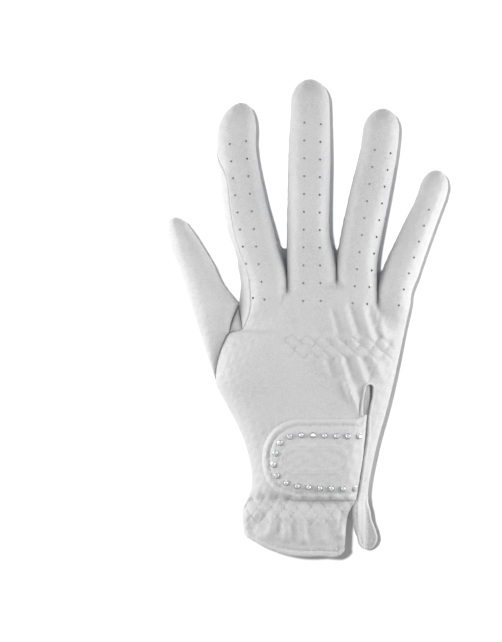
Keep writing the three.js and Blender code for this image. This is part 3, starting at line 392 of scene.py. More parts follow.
def edge_point(rows, at):
    """Points of an edge table at rows of the hand, each at its share of the side seam's height."""
    return spot(
        read(rows, "row", "across", at),
        read(rows, "row", "along", at),
        read(rows, "row", "edge", at) * SIDE_SEAM,
    )


def palm_left_point(at):
    """The palm's left edge: beside the side band, then half an ellipse round the base of the thumb,
    then the side seam."""
    at = np.asarray(at, float)
    t = np.clip((at - WEB) / (THUMB_FOOT - WEB), 0, 1)
    angle = np.pi * (1 - t)
    top, foot = edge_point(PALM_LEFT, WEB), edge_point(BACK_LEFT, THUMB_FOOT)
    x = mix(top[0], foot[0], t) + THUMB_BASE_REACH * np.sin(angle)
    y = mix(foot[1], top[1], (1 - np.cos(angle)) / 2)
    z = np.maximum(top[2] * (1 - ease(t * 8)), foot[2] * (1 - ease((1 - t) * 6)))
    round_base = np.stack([x, y, z], -1)
    above, below = edge_point(PALM_LEFT, at), edge_point(BACK_LEFT, at)
    at = at[..., None]
    return np.where(at <= WEB, above, np.where(at >= THUMB_FOOT, below, round_base))


FINGER_AT = np.concatenate([
    np.arange(1, TIP_ROWS * TIP_STEPS + 1) / TIP_STEPS,
    TIP_ROWS + np.arange(1, SHAFT_ROWS * SHAFT_STEPS + 1) / SHAFT_STEPS,
])
SIDE_FROM = TIP_ROWS * TIP_STEPS - 1
HEM_CLOSE = HAND_ROWS - SEAM_STEPS[4:0:-1] / 5
HAND_AT = np.concatenate([
    np.arange(HAND_ROWS * HAND_STEPS) / HAND_STEPS, HEM_CLOSE, [HAND_ROWS]
])


def finger_seams(number):
    """A finger's four seams and its pole. The back seam and the palm seam of a side run together
    round the tip and part below it, and each ends at its own crotch point."""
    name = FINGERS[number]
    finger, rows = FINGER[name], OUTLINE[name]
    tip = spot(finger["tip_x"], finger["tip_y"], TIP_MIDDLE * finger["thickness"])
    ends = {}
    for side, beside, own in (("left", number - 1, BACK_LEFT), ("right", number, RIGHT_EDGE)):
        if 0 <= beside < 3:
            x = CROTCH["across"][beside]
            ends["back", side] = spot(x, CROTCH["back"][beside], CROTCH_HEIGHT)
            ends["palm", side] = spot(x, CROTCH["palm"][beside], 0)
        else:
            ends["back", side] = edge_point(own, 0)
            ends["palm", side] = edge_point(PALM_LEFT if side == "left" else own, 0)
    base = tip[1] - (ends["back", "left"][1] + ends["back", "right"][1]) / 2
    seams = {"pole": tip}
    for (face, side), end in ends.items():
        distance = row_distance(FINGER_AT, finger["radius"], tip[1] - end[1])
        share = distance / base
        sign = -1 if side == "left" else 1
        centre = tip[0] + read(rows, "along", "centre", share) * finger["width"]
        half = read(rows, "along", "half", share) * finger["width"] * dome(distance, finger["radius"])
        has_side = side == "left" or number < 3
        parted = ease((FINGER_AT - TIP_ROWS) / 3) * has_side
        inset, height = PALM_INSET, PALM_SEAM_HEIGHT
        if face == "back":
            inset, height = BACK_INSET, BACK_SEAM_RISE * finger["thickness"]
        if (name, side, face) == ("index", "left", "back"):
            parted = ease((FINGER_AT - TIP_ROWS - 0.4) / 1.5)
            inset = mix(*BAND_INSET, ease((FINGER_AT - 7) / 3))
            height = BAND_SEAM_RISE * finger["thickness"]
        x = centre + sign * half * mix(1, inset, parted)
        z = mix(tip[2], height, parted)
        landing = ease((FINGER_AT - FINGER_ROWS + 2.6) / 2.6)
        x, z = mix(x, end[0], landing**1.5), mix(z, end[2], landing)
        seams[face, side] = np.stack([x, tip[1] - distance, z], -1)
    return seams


SEAMS = [finger_seams(number) for number in range(4)]


def finger_strip(number, face):
    """A finger's back or front: rows of arches from its pole to its base. Also gives the shares of
    the last arch at which its points lie."""
    name = FINGERS[number]
    finger, seams = FINGER[name], SEAMS[number]
    is_back = face == "back"
    middle = TIP_MIDDLE * finger["thickness"]
    distance = row_distance(FINGER_AT, finger["radius"], 9 * finger["radius"])
    rise = ease((FINGER_AT - TIP_ROWS) / SHAFT_ROWS)
    full = mix(finger["thickness"], KNUCKLE_HEIGHT, rise) if is_back else -0.14 * finger["thickness"]
    crown = mix(middle, full, dome(distance, finger["radius"]))
    parted = ease((FINGER_AT - TIP_ROWS) / 3)
    fullness = mix(0.998, 0.93 if is_back else 0.85, parted)
    share = np.linspace(0, 1, 241)
    dense = arch(
        seams[face, "left"], seams[face, "right"], crown, fullness, 2.3 if is_back else 2.8, share
    )
    shares = np.tile(share, (len(dense), 1))
    return resample(dense, BACK_COLUMNS if is_back else PALM_COLUMNS, shares)


def fold_height(x, y):
    """Height that the folds add: each fold is a straight ridge or valley with a bell-shaped
    section and round ends."""
    total = np.zeros_like(x)
    for x0, y0, x1, y1, height, width in zip(*FOLDS.values()):
        a, b = np.array([across(x0), along(y0)]), np.array([across(x1), along(y1)])
        way = b - a
        t = np.clip(((x - a[0]) * way[0] + (y - a[1]) * way[1]) / (way @ way), 0, 1)
        distance = np.hypot(x - a[0] - way[0] * t, y - a[1] - way[1] * t)
        taper = ease(np.minimum(t, 1 - t) * 3.4 + 0.3)
        bell = np.exp(-((distance / (FOLD_WIDTH * width * WALL)) ** 2))
        total += FOLD_GAIN * height * WALL * taper * bell
    return total


def zigzag(x, wave):
    """A triangle wave between -1 and 1."""
    return 2 * np.abs(2 * (x / wave - np.floor(x / wave + 0.5))) - 1


def gather_height(rows, x, y):
    """Height of the gathers: a narrow groove along each zigzag row of stitches, low diamonds
    between its corners, and pleats that run off from the rows and fade out."""
    total = np.zeros_like(x)
    for x0, y0, x1, y1, wave, swing, groove, pucker, pleat, reach in zip(*rows.values()):
        middle = y0 + (y1 - y0) * (x - x0) / (x1 - x0)
        inside = ease((x - x0 + 3) / 3) * ease((x1 + 3 - x) / 3)
        off = y - middle
        beat = np.cos(2 * np.pi * (x - x0) / wave) * np.sign(swing)
        total -= inside * groove * np.exp(-(((off - swing * zigzag(x - x0, wave)) / 0.62) ** 2))
        near = np.exp(-((off / (1.3 * abs(swing))) ** 2))
        total += inside * pucker * near * beat * np.tanh(off / 1.2)
        if pleat:
            run = off * np.sign(reach)
            lean = np.cos(2 * np.pi * (x - x0 + 0.25 * off) / wave + (0 if reach > 0 else np.pi))
            fade = ease(run / 2.5) * (1 - ease(run / abs(reach)))
            total += inside * pleat * np.sign(swing) * np.sign(reach) * lean * fade
    return total


def mouth_x(y):
    """The lower flap's side edge: its place across at a height along the hand."""
    rows = dict(at=-along(SLIT_MOUTH["along"]), across=SLIT_MOUTH["across"])
    return across(read(rows, "at", "across", -y)) - SLIT_WIDTH / 2


def small_creases(x, y):
    """Slight unevenness of soft leather: four low waves, 3 to 5 mm long, that cross at odd
    angles."""
    waves = ((0.21, 0.05, 0.0), (0.09, 0.17, 1.3), (-0.13, 0.23, 2.1), (0.33, -0.12, 0.7))
    return CREASE_HEIGHT * sum(np.sin(2 * np.pi * (a * x + b * y) + c) for a, b, c in waves)


def hand_grid(face, strips):
    """The hand's back or palm. Its first row is the fingers' last rows side by side, its last row
    is the hem, and between them the rows settle into plain arches from edge to edge."""
    is_back = face == "back"
    hem = BACK_HEM if is_back else PALM_HEM
    base = np.concatenate([s[0][-1][(number > 0):] for number, s in enumerate(strips)])
    share = np.concatenate([(number + s[1][-1][(number > 0):]) / 4 for number, s in enumerate(strips)])

    def smooth(at):
        left = edge_point(BACK_LEFT, at) if is_back else palm_left_point(at)
        crown = read(BACK_HEIGHT, "row", "height", at) * HAND_HEIGHT if is_back else -4.0
        return arch(left, edge_point(RIGHT_EDGE, at), crown, 0.985, 2.5 if is_back else 2.6, share)

    first, last = smooth(np.zeros(1))[0], smooth(np.full(1, float(HAND_ROWS)))[0]
    at = HAND_AT[:, None]
    p = smooth(HAND_AT)
    left_over = (base - first) * (1 - ease(at / (8 if is_back else 12)))[..., None]
    if is_back:
        rise = (base - first)[:, 2]
        left_over[..., 2] = rise * (1 - ease(at / np.where(rise < 0, 1.1, 3.2)))
    p += left_over
    hem_y = along(read(hem, "across", "along", last[:, 0] / PALM_WIDTH))
    p[..., 1] += (hem_y - last[:, 1]) * ease((at - 9) / (HAND_ROWS - 9))
    inner = np.minimum(share, 1 - share) * 24
    fade = ease(at / 2) * ease(inner / 3)
    if is_back:
        p[..., 2] += fold_height(p[..., 0], p[..., 1]) * fade
    p[..., 2] = np.maximum(p[..., 2], 0)
    p[:, 0] = edge_point(BACK_LEFT, HAND_AT) if is_back else palm_left_point(HAND_AT)
    p[:, -1] = edge_point(RIGHT_EDGE, HAND_AT)
    p[0] = base
    return p


def side_rows(back, palm, bulge):
    """Side wall between a back seam and a palm seam: straight lines that bow out by a parabola."""
    t = np.linspace(0, 1, 81)
    p = back[:, None] + (palm - back)[:, None] * t[:, None]
    p[..., 0] += np.asarray(bulge)[:, None] * 4 * t * (1 - t)
    return resample(p, SIDE_COLUMNS)[0]


def side_bulge(at):
    """How far a finger's side bows out, as a share of its width: nothing at the tip."""
    return 0.13 * ease((at - TIP_ROWS) / 3)


def fourchette_grid(number):
    """A fourchette: down the side of one finger, round the web and up the next finger."""
    at = FINGER_AT[SIDE_FROM + 1:]
    fade = 1 - ease((at - FINGER_ROWS + 3) / 3)
    bulge = 0.25 * side_bulge(at) * fade
    widths = [FINGER[FINGERS[n]]["width"] for n in (number, number + 1)]
    one, two = SEAMS[number], SEAMS[number + 1]
    down = side_rows(
        one["back", "right"][SIDE_FROM + 1:], one["palm", "right"][SIDE_FROM + 1:], bulge * widths[0]
    )
    up = side_rows(
        two["back", "left"][SIDE_FROM + 1:], two["palm", "left"][SIDE_FROM + 1:], -bulge * widths[1]
    )
    rows = np.concatenate([down, up[::-1][1:]])
    return rows, one["back", "right"][SIDE_FROM], two["back", "left"][SIDE_FROM]


WEB_POINT = edge_point(PALM_LEFT, WEB)
GUSSET = {
    "left": np.array([
        WEB_POINT,
        spot(*GUSSET_MIDDLE["left"][:2], GUSSET_MIDDLE["left"][2] * SIDE_SEAM),
        edge_point(BACK_LEFT, BAND_FOOT + 1),
    ]),
    "right": np.array([
        WEB_POINT,
        spot(*GUSSET_MIDDLE["right"][:2], GUSSET_MIDDLE["right"][2] * SIDE_SEAM),
        edge_point(BACK_LEFT, BAND_FOOT),
    ]),
}


def band_grid():
    """The band on the index finger's outer side, from below the tip to its point by the thumb."""
    at = FINGER_AT[SIDE_FROM + 1:]
    seams = SEAMS[0]
    width = FINGER["index"]["width"]
    upper = side_rows(
        seams["back", "left"][SIDE_FROM + 1:], seams["palm", "left"][SIDE_FROM + 1:],
        -side_bulge(at) * width,
    )
    hand = np.arange(1, BAND_FOOT * HAND_STEPS) / HAND_STEPS
    beyond = through(GUSSET["right"], np.maximum(hand - WEB, 0))
    palm = np.where((hand <= WEB)[:, None], edge_point(PALM_LEFT, hand), beyond)
    lower = side_rows(edge_point(BACK_LEFT, hand), palm, -0.13 * width * (1 - hand / BAND_FOOT))
    rows = np.concatenate([upper, lower])
    return rows, seams["back", "left"][SIDE_FROM], edge_point(BACK_LEFT, BAND_FOOT)


def gusset_grid():
    """The gusset: straight lines between its two sides, bent down to the back's edge at its foot."""
    at = np.arange(1, 2 * HAND_STEPS + 1) / HAND_STEPS
    left, right = through(GUSSET["left"], at), through(GUSSET["right"], at)
    t = np.linspace(0, 1, 41)
    p = left[:, None] + (right - left)[:, None] * t[:, None]
    p[..., 2] += 2.8 * (4 * t * (1 - t)) * np.sin(np.pi * at / 2.4)[:, None].clip(0)
    foot = edge_point(BACK_LEFT, BAND_FOOT + 1 - t)
    p += (foot - p[-1]) * ((at / 2) ** 2)[:, None, None]
    return resample(p, SIDE_COLUMNS)[0], WEB_POINT, None


def thumb_grid():
    """The thumb: closed rings from its tip to the web, then rows from the thumb seam on the back
    round the outer side to the seam round the thumb's base on the palm. Each row is one arch over
    the top and one under it, with its points spread over the whole length."""
    tip = spot(*THUMB_TIP, TIP_MIDDLE * THUMB_HEIGHT)
    length = tip[1] - WEB_POINT[1]
    share = np.linspace(0, 1, 161)

    def wrap(inner, outer, end, crown, depth):
        top = arch(inner, outer, crown, 0.998, 2.3, share)
        under = arch(outer, end, depth, 0.998, 2.6, share)
        return resample(np.concatenate([top, under[:, 1:]], axis=1), THUMB_COLUMNS)[0]

    tip_share = 1.3 * THUMB_RADIUS / length
    first = tip_share * (np.arange(1, 31) / 30) ** 1.7
    at = np.concatenate([first, mix(tip_share, 1, np.arange(1, 36) / 35)])
    round_tip = dome(at * length, THUMB_RADIUS)
    y = mix(tip[1], WEB_POINT[1], at)
    right = tip[0] + across(read(THUMB_OUTLINE, "along", "right", at))
    left = tip[0] + across(read(THUMB_OUTLINE, "along", "left", at))
    inner = np.stack([right, y, mix(tip[2], WEB_POINT[2], ease(at * 2 - 1))], -1)
    inner[-1] = WEB_POINT
    outer = np.stack([left, y, np.full_like(y, tip[2])], -1)
    rings = wrap(
        inner, outer, inner, mix(tip[2], THUMB_HEIGHT, round_tip), mix(tip[2], -2, round_tip)
    )
    step = np.arange(1, (THUMB_FOOT - WEB - 1) * HAND_STEPS) / HAND_STEPS
    beyond = edge_point(BACK_LEFT, np.maximum(step + BAND_FOOT - 1, 0))
    inner = np.where((step <= 2)[:, None], through(GUSSET["left"], np.minimum(step, 2)), beyond)
    end = palm_left_point(WEB + step * (THUMB_FOOT - WEB) / (THUMB_FOOT - WEB - 1))
    outer = spot(read(THUMB_SIDE, "row", "across", step + BAND_FOOT - 1), 0, 0.9 * SIDE_SEAM)
    outer[:, 1] = inner[:, 1]
    joined = ease(step - 5)[:, None]
    outer = mix(outer, inner, joined)
    crown = mix(THUMB_HEIGHT, inner[:, 2], ease(step / 6))
    seam_rows = wrap(inner, outer, end, crown, -2.0)
    return rings, seam_rows, tip, edge_point(BACK_LEFT, THUMB_FOOT)


# Surfaces of the panels


class Panel:
    """One cut piece's surface: vertices, four-sided and three-sided faces, and each vertex's
    distance from the nearest seam and from the hem."""

    def __init__(self):
        self.points, self.quads, self.tris = [], [], []
        self.seam, self.hem = [], []
        self.count = 0

    def add(self, rows, seam, hem=None, start=None, end=None, turned=False):
        """Lays a grid of points, closed by a pole before its first row or after its last one."""
        r, c = rows.shape[:2]
        index = self.count + np.arange(r * c).reshape(r, c)
        a, b, d, e = index[:-1, :-1], index[1:, :-1], index[1:, 1:], index[:-1, 1:]
        quads = np.stack([a, b, d, e], -1).reshape(-1, 4)
        points, tris = [rows.reshape(-1, 3)], []
        seam = [np.broadcast_to(seam, (r, c)).reshape(-1)]
        hem = [np.broadcast_to(1e3 if hem is None else hem, (r, c)).reshape(-1)]
        for pole, row, order in ((start, 0, 1), (end, r - 1, -1)):
            if pole is None:
                continue
            top = np.full(c - 1, self.count + sum(len(p) for p in points))
            pair = (index[row, :-1], index[row, 1:])[::order]
            tris.append(np.stack([top, *pair], -1))
            points.append(np.asarray(pole)[None])
            seam.append(np.zeros(1))
            hem.append(np.full(1, 1e3))
        self.points += points
        self.seam += seam
        self.hem += hem
        self.quads.append(quads[:, ::-1] if turned else quads)
        self.tris += [t[:, ::-1] if turned else t for t in tris]
        self.count += sum(len(p) for p in points)

    def weld(self):
        """Joins points that lie together and drops what has no area."""
        points = np.concatenate(self.points)
        keys, first, owner = np.unique(
            np.round(points * 200).astype(np.int64), axis=0, return_index=True, return_inverse=True
        )
        owner = owner.reshape(-1)
        self.vertices = points[first]
        self.seam_reach = np.full(len(keys), 1e3)
        np.minimum.at(self.seam_reach, owner, np.concatenate(self.seam))
        self.hem_reach = np.full(len(keys), 1e3)
        np.minimum.at(self.hem_reach, owner, np.concatenate(self.hem))
        quads = owner[np.concatenate(self.quads)]
        tris = owner[np.concatenate(self.tris)] if self.tris else np.zeros((0, 3), int)
        double = (quads == np.roll(quads, 1, axis=1)).sum(1)
        folded = quads[double == 1]
        keep = folded != np.roll(folded, 1, axis=1)
        tris = np.concatenate([tris, folded[keep].reshape(-1, 3)])
        same = (tris == np.roll(tris, 1, axis=1)).any(1)
        self.faces4, self.faces3 = quads[double == 0], tris[~same]
        return self


def row_reach(rows):
    """Distance of each point from the nearer end of its row."""
    length = arc_length(rows)
    return np.minimum(length, length[:, -1:] - length)


def add_normals(total, owner, points, faces):
    """Adds the faces' area-weighted normals to the rows of total that own their corners: half the
    cross product of a four-sided face's diagonals, or of two sides of a triangle."""
    corners = points[faces].transpose(1, 0, 2)
    if len(corners) == 4:
        normal = np.cross(corners[2] - corners[0], corners[3] - corners[1]) / 2
    else:
        normal = np.cross(corners[1] - corners[0], corners[2] - corners[0]) / 2
    for places in faces.T:
        np.add.at(total, owner[places], normal)


def vertex_normals(points, *face_sets):
    """Unit normals at points: the sums over their faces."""
    total = np.zeros_like(points)
    for faces in face_sets:
        add_normals(total, np.arange(len(points)), points, faces)
    return unit(total)


def share_normals(panels):
    """Gives the panels normals that agree where they meet: sums over equal places."""
    points = np.concatenate([p.vertices for p in panels])
    keys, owner = np.unique(np.round(points * 100).astype(np.int64), axis=0, return_inverse=True)
    owners = np.split(owner.reshape(-1), np.cumsum([len(p.vertices) for p in panels])[:-1])
    total = np.zeros((len(keys), 3))
    for panel, own in zip(panels, owners):
        add_normals(total, own, panel.vertices, panel.faces4)
        add_normals(total, own, panel.vertices, panel.faces3)
    for panel, own in zip(panels, owners):
        panel.normals = unit(total)[own]


def roll(reach, radius, depth):
    """How far a surface sinks near its edge: a quarter ellipse, depth at the edge and nothing from
    the radius on."""
    t = 1 - np.clip(reach / radius, 0, 1)
    return depth * (1 - np.sqrt(1 - t * t))


def build_panels():
    """Every cut piece's surface by the name of its node, with normals that agree at the seams."""
    back, palm = Panel(), Panel()
    strips = {face: [finger_strip(number, face) for number in range(4)] for face in ("back", "palm")}
    crotches = {
        face: spot(CROTCH["across"], CROTCH[face], CROTCH_HEIGHT if face == "back" else 0)
        for face in ("back", "palm")
    }
    for panel, face in ((back, "back"), (palm, "palm")):
        turned = face == "palm"
        for number in range(4):
            rows = strips[face][number][0]
            down = np.linalg.norm(rows - SEAMS[number]["pole"], axis=-1)
            panel.add(
                rows, np.minimum(row_reach(rows), down), start=SEAMS[number]["pole"], turned=turned
            )
        rows = hand_grid(face, strips[face])
        to_crotch = np.linalg.norm(rows[:, :, None] - crotches[face], axis=-1).min(-1)
        to_hem = arc_length(rows.transpose(1, 0, 2)).T
        hem = to_hem[-1] - to_hem
        panel.add(rows, np.minimum(row_reach(rows), to_crotch), hem=hem, turned=turned)
    made = {"back_panel": back, "palm_panel": palm}
    names = ("fourchette_index_middle", "fourchette_middle_ring", "fourchette_ring_little")
    for number, name in enumerate(names):
        rows, start, end = fourchette_grid(number)
        made[name] = Panel()
        made[name].add(rows, row_reach(rows), start=start, end=end)
    rows, start, end = band_grid()
    made["index_side_band"] = Panel()
    made["index_side_band"].add(rows, row_reach(rows), start=start, end=end, turned=True)
    rows, start, end = gusset_grid()
    made["thumb_gusset"] = Panel()
    made["thumb_gusset"].add(rows, row_reach(rows), start=start)
    rings, seam_rows, start, end = thumb_grid()
    made["thumb"] = Panel()
    to_web = np.linalg.norm(rings - WEB_POINT, axis=-1)
    made["thumb"].add(rings, to_web, start=start, turned=True)
    joined = np.concatenate([rings[-1:], seam_rows])
    reach = np.concatenate([to_web[-1:], row_reach(seam_rows)])
    made["thumb"].add(joined, reach, end=end, turned=True)
    for panel in made.values():
        panel.weld()
    share_normals(list(made.values()))
    return made


def open_edges(faces4, faces3):
    """Edges that only one face uses, in that face's direction."""
    edges = [np.stack([f, np.roll(f, -1, axis=1)], -1).reshape(-1, 2) for f in (faces4, faces3)]
    edges = np.concatenate(edges)
    low, high = edges.min(1), edges.max(1)
    unused, first, count = np.unique(
        low * (high.max() + 1) + high, return_index=True, return_counts=True
    )
    return edges[first[count == 1]]


def sewn_edge(reach, edge):
    """Height of a turned edge by the distance from it: raised up to the line of its stitches, which
    press a bell-shaped groove."""
    pressed = edge["pull"] * np.exp(-(((reach - edge["line"]) / edge["width"]) ** 2))
    return edge["turned"] * ease((3.1 - reach) / 0.7) - pressed


def relief(name, panel):
    """Fine height over the smooth surface, along its normal: gathers, small creases and hems."""
    x, y = panel.vertices[:, 0], panel.vertices[:, 1]
    height = small_creases(x, y)
    if name == "back_panel":
        height += gather_height(GATHERS, x, y)
        side = mouth_x(y) - x
        height += ease((along(0.2) - y) / 3) * (side > 0) * sewn_edge(side, FLAP_SIDE)
    if name == "palm_panel":
        height += gather_height(PALM_GATHERS, x, y)
    if name in ("back_panel", "palm_panel"):
        height += sewn_edge(panel.hem_reach, HEM)
    return height * ease((panel.seam_reach - 0.6) / 1.5)


def wall_of(name, panel):
    """The panel's closed wall: the outer face rolls in at its seams, a wall lies between it and the
    inner face, and both round off at the hem."""
    n = panel.normals
    lift = relief(name, panel) - roll(panel.seam_reach, SEAM_ROLL, SEAM_DEPTH)
    hem = roll(panel.hem_reach, HEM_ROLL, WALL / 2)
    outer = panel.vertices + n * (lift - hem)[:, None]
    outer[:, 2] = np.maximum(outer[:, 2], CLEARANCE)
    deep = np.where(panel.seam_reach < SEAM_ROLL, 0, relief(name, panel)) - WALL + hem
    inner = panel.vertices + n * deep[:, None]
    inner[:, 2] = np.maximum(inner[:, 2], 1.5 * CLEARANCE)
    edges = open_edges(panel.faces4, panel.faces3)
    size = len(outer)
    a, b = edges[:, 0], edges[:, 1]
    rim = np.stack([b, a, a + size, b + size], -1)
    quads = np.concatenate([panel.faces4, panel.faces4[:, ::-1] + size, rim])
    tris = np.concatenate([panel.faces3, panel.faces3[:, ::-1] + size])
    slots = np.concatenate([
        np.zeros(len(panel.faces4)), np.ones(len(panel.faces4)), np.zeros(len(rim)),
        np.zeros(len(panel.faces3)), np.ones(len(panel.faces3)),
    ])
    return np.concatenate([outer, inner]), quads, tris, slots


# Meshes


def make_object(name, points, quads, tris=None, materials=(), slots=None, sharp=40):
    """A mesh object from arrays in millimetres, smooth but for edges above the sharp angle."""
    mesh = bpy.data.meshes.new(name)
    faces = [f for f in (quads, tris) if f is not None and len(f)]
    corners = np.concatenate([f.reshape(-1) for f in faces]).astype(np.int32)
    sizes = np.concatenate([np.full(len(f), f.shape[1]) for f in faces]).astype(np.int32)
    mesh.vertices.add(len(points))
    mesh.vertices.foreach_set("co", (np.asarray(points) / 1000).astype(np.float32).ravel())
    mesh.loops.add(len(corners))
    mesh.loops.foreach_set("vertex_index", corners)
    mesh.polygons.add(len(sizes))
    starts = np.concatenate([[0], np.cumsum(sizes)[:-1]])
    mesh.polygons.foreach_set("loop_start", starts.astype(np.int32))
    mesh.update(calc_edges=True)
    mesh.validate()
    for material in materials:
        mesh.materials.append(material)
    if slots is not None:
        mesh.polygons.foreach_set("material_index", np.asarray(slots).astype(np.int32))
    mesh.shade_smooth()
    mesh.set_sharp_from_angle(angle=math.radians(sharp))
    obj = bpy.data.objects.new(name, mesh)
    bpy.context.scene.collection.objects.link(obj)
    return obj


def cut_away(obj, cutter):
    """Cuts the cutter's solid out of an object and removes the cutter."""
    modifier = obj.modifiers.new("cut", "BOOLEAN")
    modifier.operation = "DIFFERENCE"
    modifier.solver = "MANIFOLD"
    modifier.object = cutter
    bpy.context.view_layer.update()
    graph = bpy.context.evaluated_depsgraph_get()
    mesh = bpy.data.meshes.new_from_object(obj.evaluated_get(graph))
    obj.modifiers.remove(modifier)
    old = obj.data
    obj.data = mesh
    bpy.data.meshes.remove(old)
    bpy.data.objects.remove(cutter)
    obj.data.set_sharp_from_angle(angle=math.radians(40))


def prism(name, outline, low, high):
    """An upright prism over an outline that runs anticlockwise, between two heights."""
    count = len(outline)
    points = np.concatenate([np.column_stack([outline, np.full(count, z)]) for z in (low, high)])
    k = np.arange(count)
    caps = [k[::-1].tolist(), (k + count).tolist()]
    mesh = bpy.data.meshes.new(name)
    mesh.from_pydata((points / 1000).tolist(), [], ring_faces(2, count).tolist() + caps)
    obj = bpy.data.objects.new(name, mesh)
    bpy.context.scene.collection.objects.link(obj)
    return obj


class Surface:
    """Vertices and normals of a top face, to set other pieces on it."""

    def __init__(self, points, normals):
        up = normals[:, 2] > 0.15
        self.points, self.normals = points[up], normals[up]

    def at(self, x, y):
        """Heights and normals over places on the ground plane: the mean, weighted by nearness, of
        the tangent planes at the four nearest vertices."""
        x, y = np.atleast_1d(x).astype(float), np.atleast_1d(y).astype(float)
        heights, normals = [], []
        for part in np.array_split(np.arange(len(x)), max(1, len(x) // 400)):
            dx = x[part, None] - self.points[:, 0]
            dy = y[part, None] - self.points[:, 1]
            near = dx * dx + dy * dy
            pick = np.argpartition(near, 4, axis=1)[:, :4]
            rows = np.arange(len(part))[:, None]
            p, n = self.points[pick], self.normals[pick]
            weight = 1 / (near[rows, pick] + 1e-4)
            plane = p[..., 2] - (n[..., 0] * dx[rows, pick] + n[..., 1] * dy[rows, pick]) / n[..., 2]
            weight = weight / weight.sum(1, keepdims=True)
            heights.append((plane * weight).sum(1))
            normals.append((n * weight[..., None]).sum(1))
        return np.concatenate(heights), unit(np.concatenate(normals))

    def lay(self, x, y, lift=0.0):
        """Points on the surface, lifted along its normal."""
        z, n = self.at(x, y)
        return np.stack([x, y, z], -1) + n * np.asarray(lift)[..., None], n


def path_places(path, at):
    """Points and directions at lengths along a path."""
    length = arc_length(path[None])[0]

    def place(at):
        return np.stack([np.interp(at, length, column) for column in path.T], -1)

    return place(at), unit(place(at + 0.2) - place(at - 0.2))


def smooth_path(points, step):
    """A curve through points on the ground plane, with points a step apart."""
    flat = np.column_stack([points, np.zeros(len(points))])
    dense = through(flat, np.linspace(0, len(points) - 1, 400))[:, :2]
    length = arc_length(dense[None])[0, -1]
    return path_places(dense, np.linspace(0, length, int(round(length / step)) + 1))[0]


def ring_faces(rings, sides, first=0):
    """Four-sided faces between closed rings of points that follow each other from an index on."""
    k = np.arange(sides)
    ahead = (k + 1) % sides
    rows = first + np.arange(rings - 1)[:, None] * sides
    return np.stack([rows + k, rows + ahead, rows + ahead + sides, rows + k + sides], -1).reshape(-1, 4)


def fan(pole, first, sides):
    """Triangles from a pole to a closed ring of points that starts at an index."""
    k = np.arange(sides)
    return np.stack([np.full(sides, pole), first + (k + 1) % sides, first + k], -1)


def tube(path, normals, width, height, sides, low=0.0):
    """An oval section carried along a path, closed at both ends. The section's wide way lies across
    the path and its high way along the normals."""
    way = unit(np.gradient(path, axis=0))
    side = unit(np.cross(way, normals))
    up = np.cross(side, way)
    angle = 2 * np.pi * np.arange(sides) / sides
    width, height = np.broadcast_to(width, len(path)), np.broadcast_to(height, len(path))
    ring = side[:, None] * (np.cos(angle) * width[:, None] / 2)[..., None]
    ring = ring + up[:, None] * (np.sin(angle) * height[:, None] / 2 + low)[..., None]
    points = (path[:, None] + ring).reshape(-1, 3)
    ends = np.stack([path[0] + up[0] * low, path[-1] + up[-1] * low])
    count = len(points)
    quads = ring_faces(len(path), sides)[:, ::-1]
    tris = np.concatenate([fan(count, 0, sides)[:, ::-1], fan(count + 1, count - sides, sides)])
    return np.concatenate([points, ends]), quads, tris


def merge(*parts):
    """Joins (points, quads, tris) parts into one."""
    points, quads, tris, base = [], [], [], 0
    for p, q, t in parts:
        points.append(p)
        quads.append(q + base)
        tris.append(t + base)
        base += len(p)
    return np.concatenate(points), np.concatenate(quads), np.concatenate(tris)


def copies(shape, centres, frames):
    """The same (points, quads, tris) shape set at each centre, its three axes along a frame's."""
    points, quads, tris = shape
    placed = centres[:, None] + np.einsum("vk,nkj->nvj", points, frames)
    offset = np.arange(len(centres))[:, None, None] * len(points)
    return placed.reshape(-1, 3), (quads + offset).reshape(-1, 4), (tris + offset).reshape(-1, 3)


def upright_on(normals):
    """Frames whose third axis lies along each normal."""
    x_way = unit(np.cross([0, 1, 0], normals))
    return np.stack([x_way, np.cross(normals, x_way), normals], 1)


def turned_shape(profile, sides, twist=None):
    """A profile of (radius, height) pairs turned round the upright axis, from one pole to the
    other. twist turns single rings by shares of a side, to cut facets between them."""
    profile = np.asarray(profile, float)
    twist = np.zeros(len(profile)) if twist is None else np.asarray(twist, float)
    angle = 2 * np.pi * (np.arange(sides) + twist[1:-1, None]) / sides
    radius, height = profile[1:-1, 0][:, None], profile[1:-1, 1][:, None]
    rings = np.stack([radius * np.cos(angle), radius * np.sin(angle), height + 0 * angle], -1)
    points = np.concatenate([[[0, 0, profile[0, 1]]], rings.reshape(-1, 3), [[0, 0, profile[-1, 1]]]])
    last = 1 + (len(profile) - 3) * sides
    tris = np.concatenate([fan(0, 1, sides), fan(len(points) - 1, last, sides)[:, ::-1]])
    return points, ring_faces(len(profile) - 2, sides, 1), tris


def stitches(centres, ways, normals, length, thick):
    """Short plump stitches: one small spindle for each centre, laid along its way."""
    rings, sides = np.array([0.12, 0.35, 0.65, 0.88]), 6
    angle = 2 * np.pi * np.arange(sides) / sides
    swell = np.sin(np.pi * rings) ** 0.6 * thick / 2
    shape = np.concatenate([
        [[-0.5, 0, 0], [0.5, 0, 0]],
        np.stack([
            np.repeat(rings - 0.5, sides),
            (swell[:, None] * np.cos(angle)).ravel() / length,
            (swell[:, None] * np.sin(angle)).ravel() / length,
        ], -1),
    ]) * length
    last = 2 + (len(rings) - 1) * sides
    tris = np.concatenate([fan(0, 2, sides), fan(1, last, sides)[:, ::-1]])
    side = unit(np.cross(normals, ways))
    frames = np.stack([ways, side, np.cross(ways, side)], 1)
    return copies((shape, ring_faces(len(rings), sides, 2), tris), centres, frames)


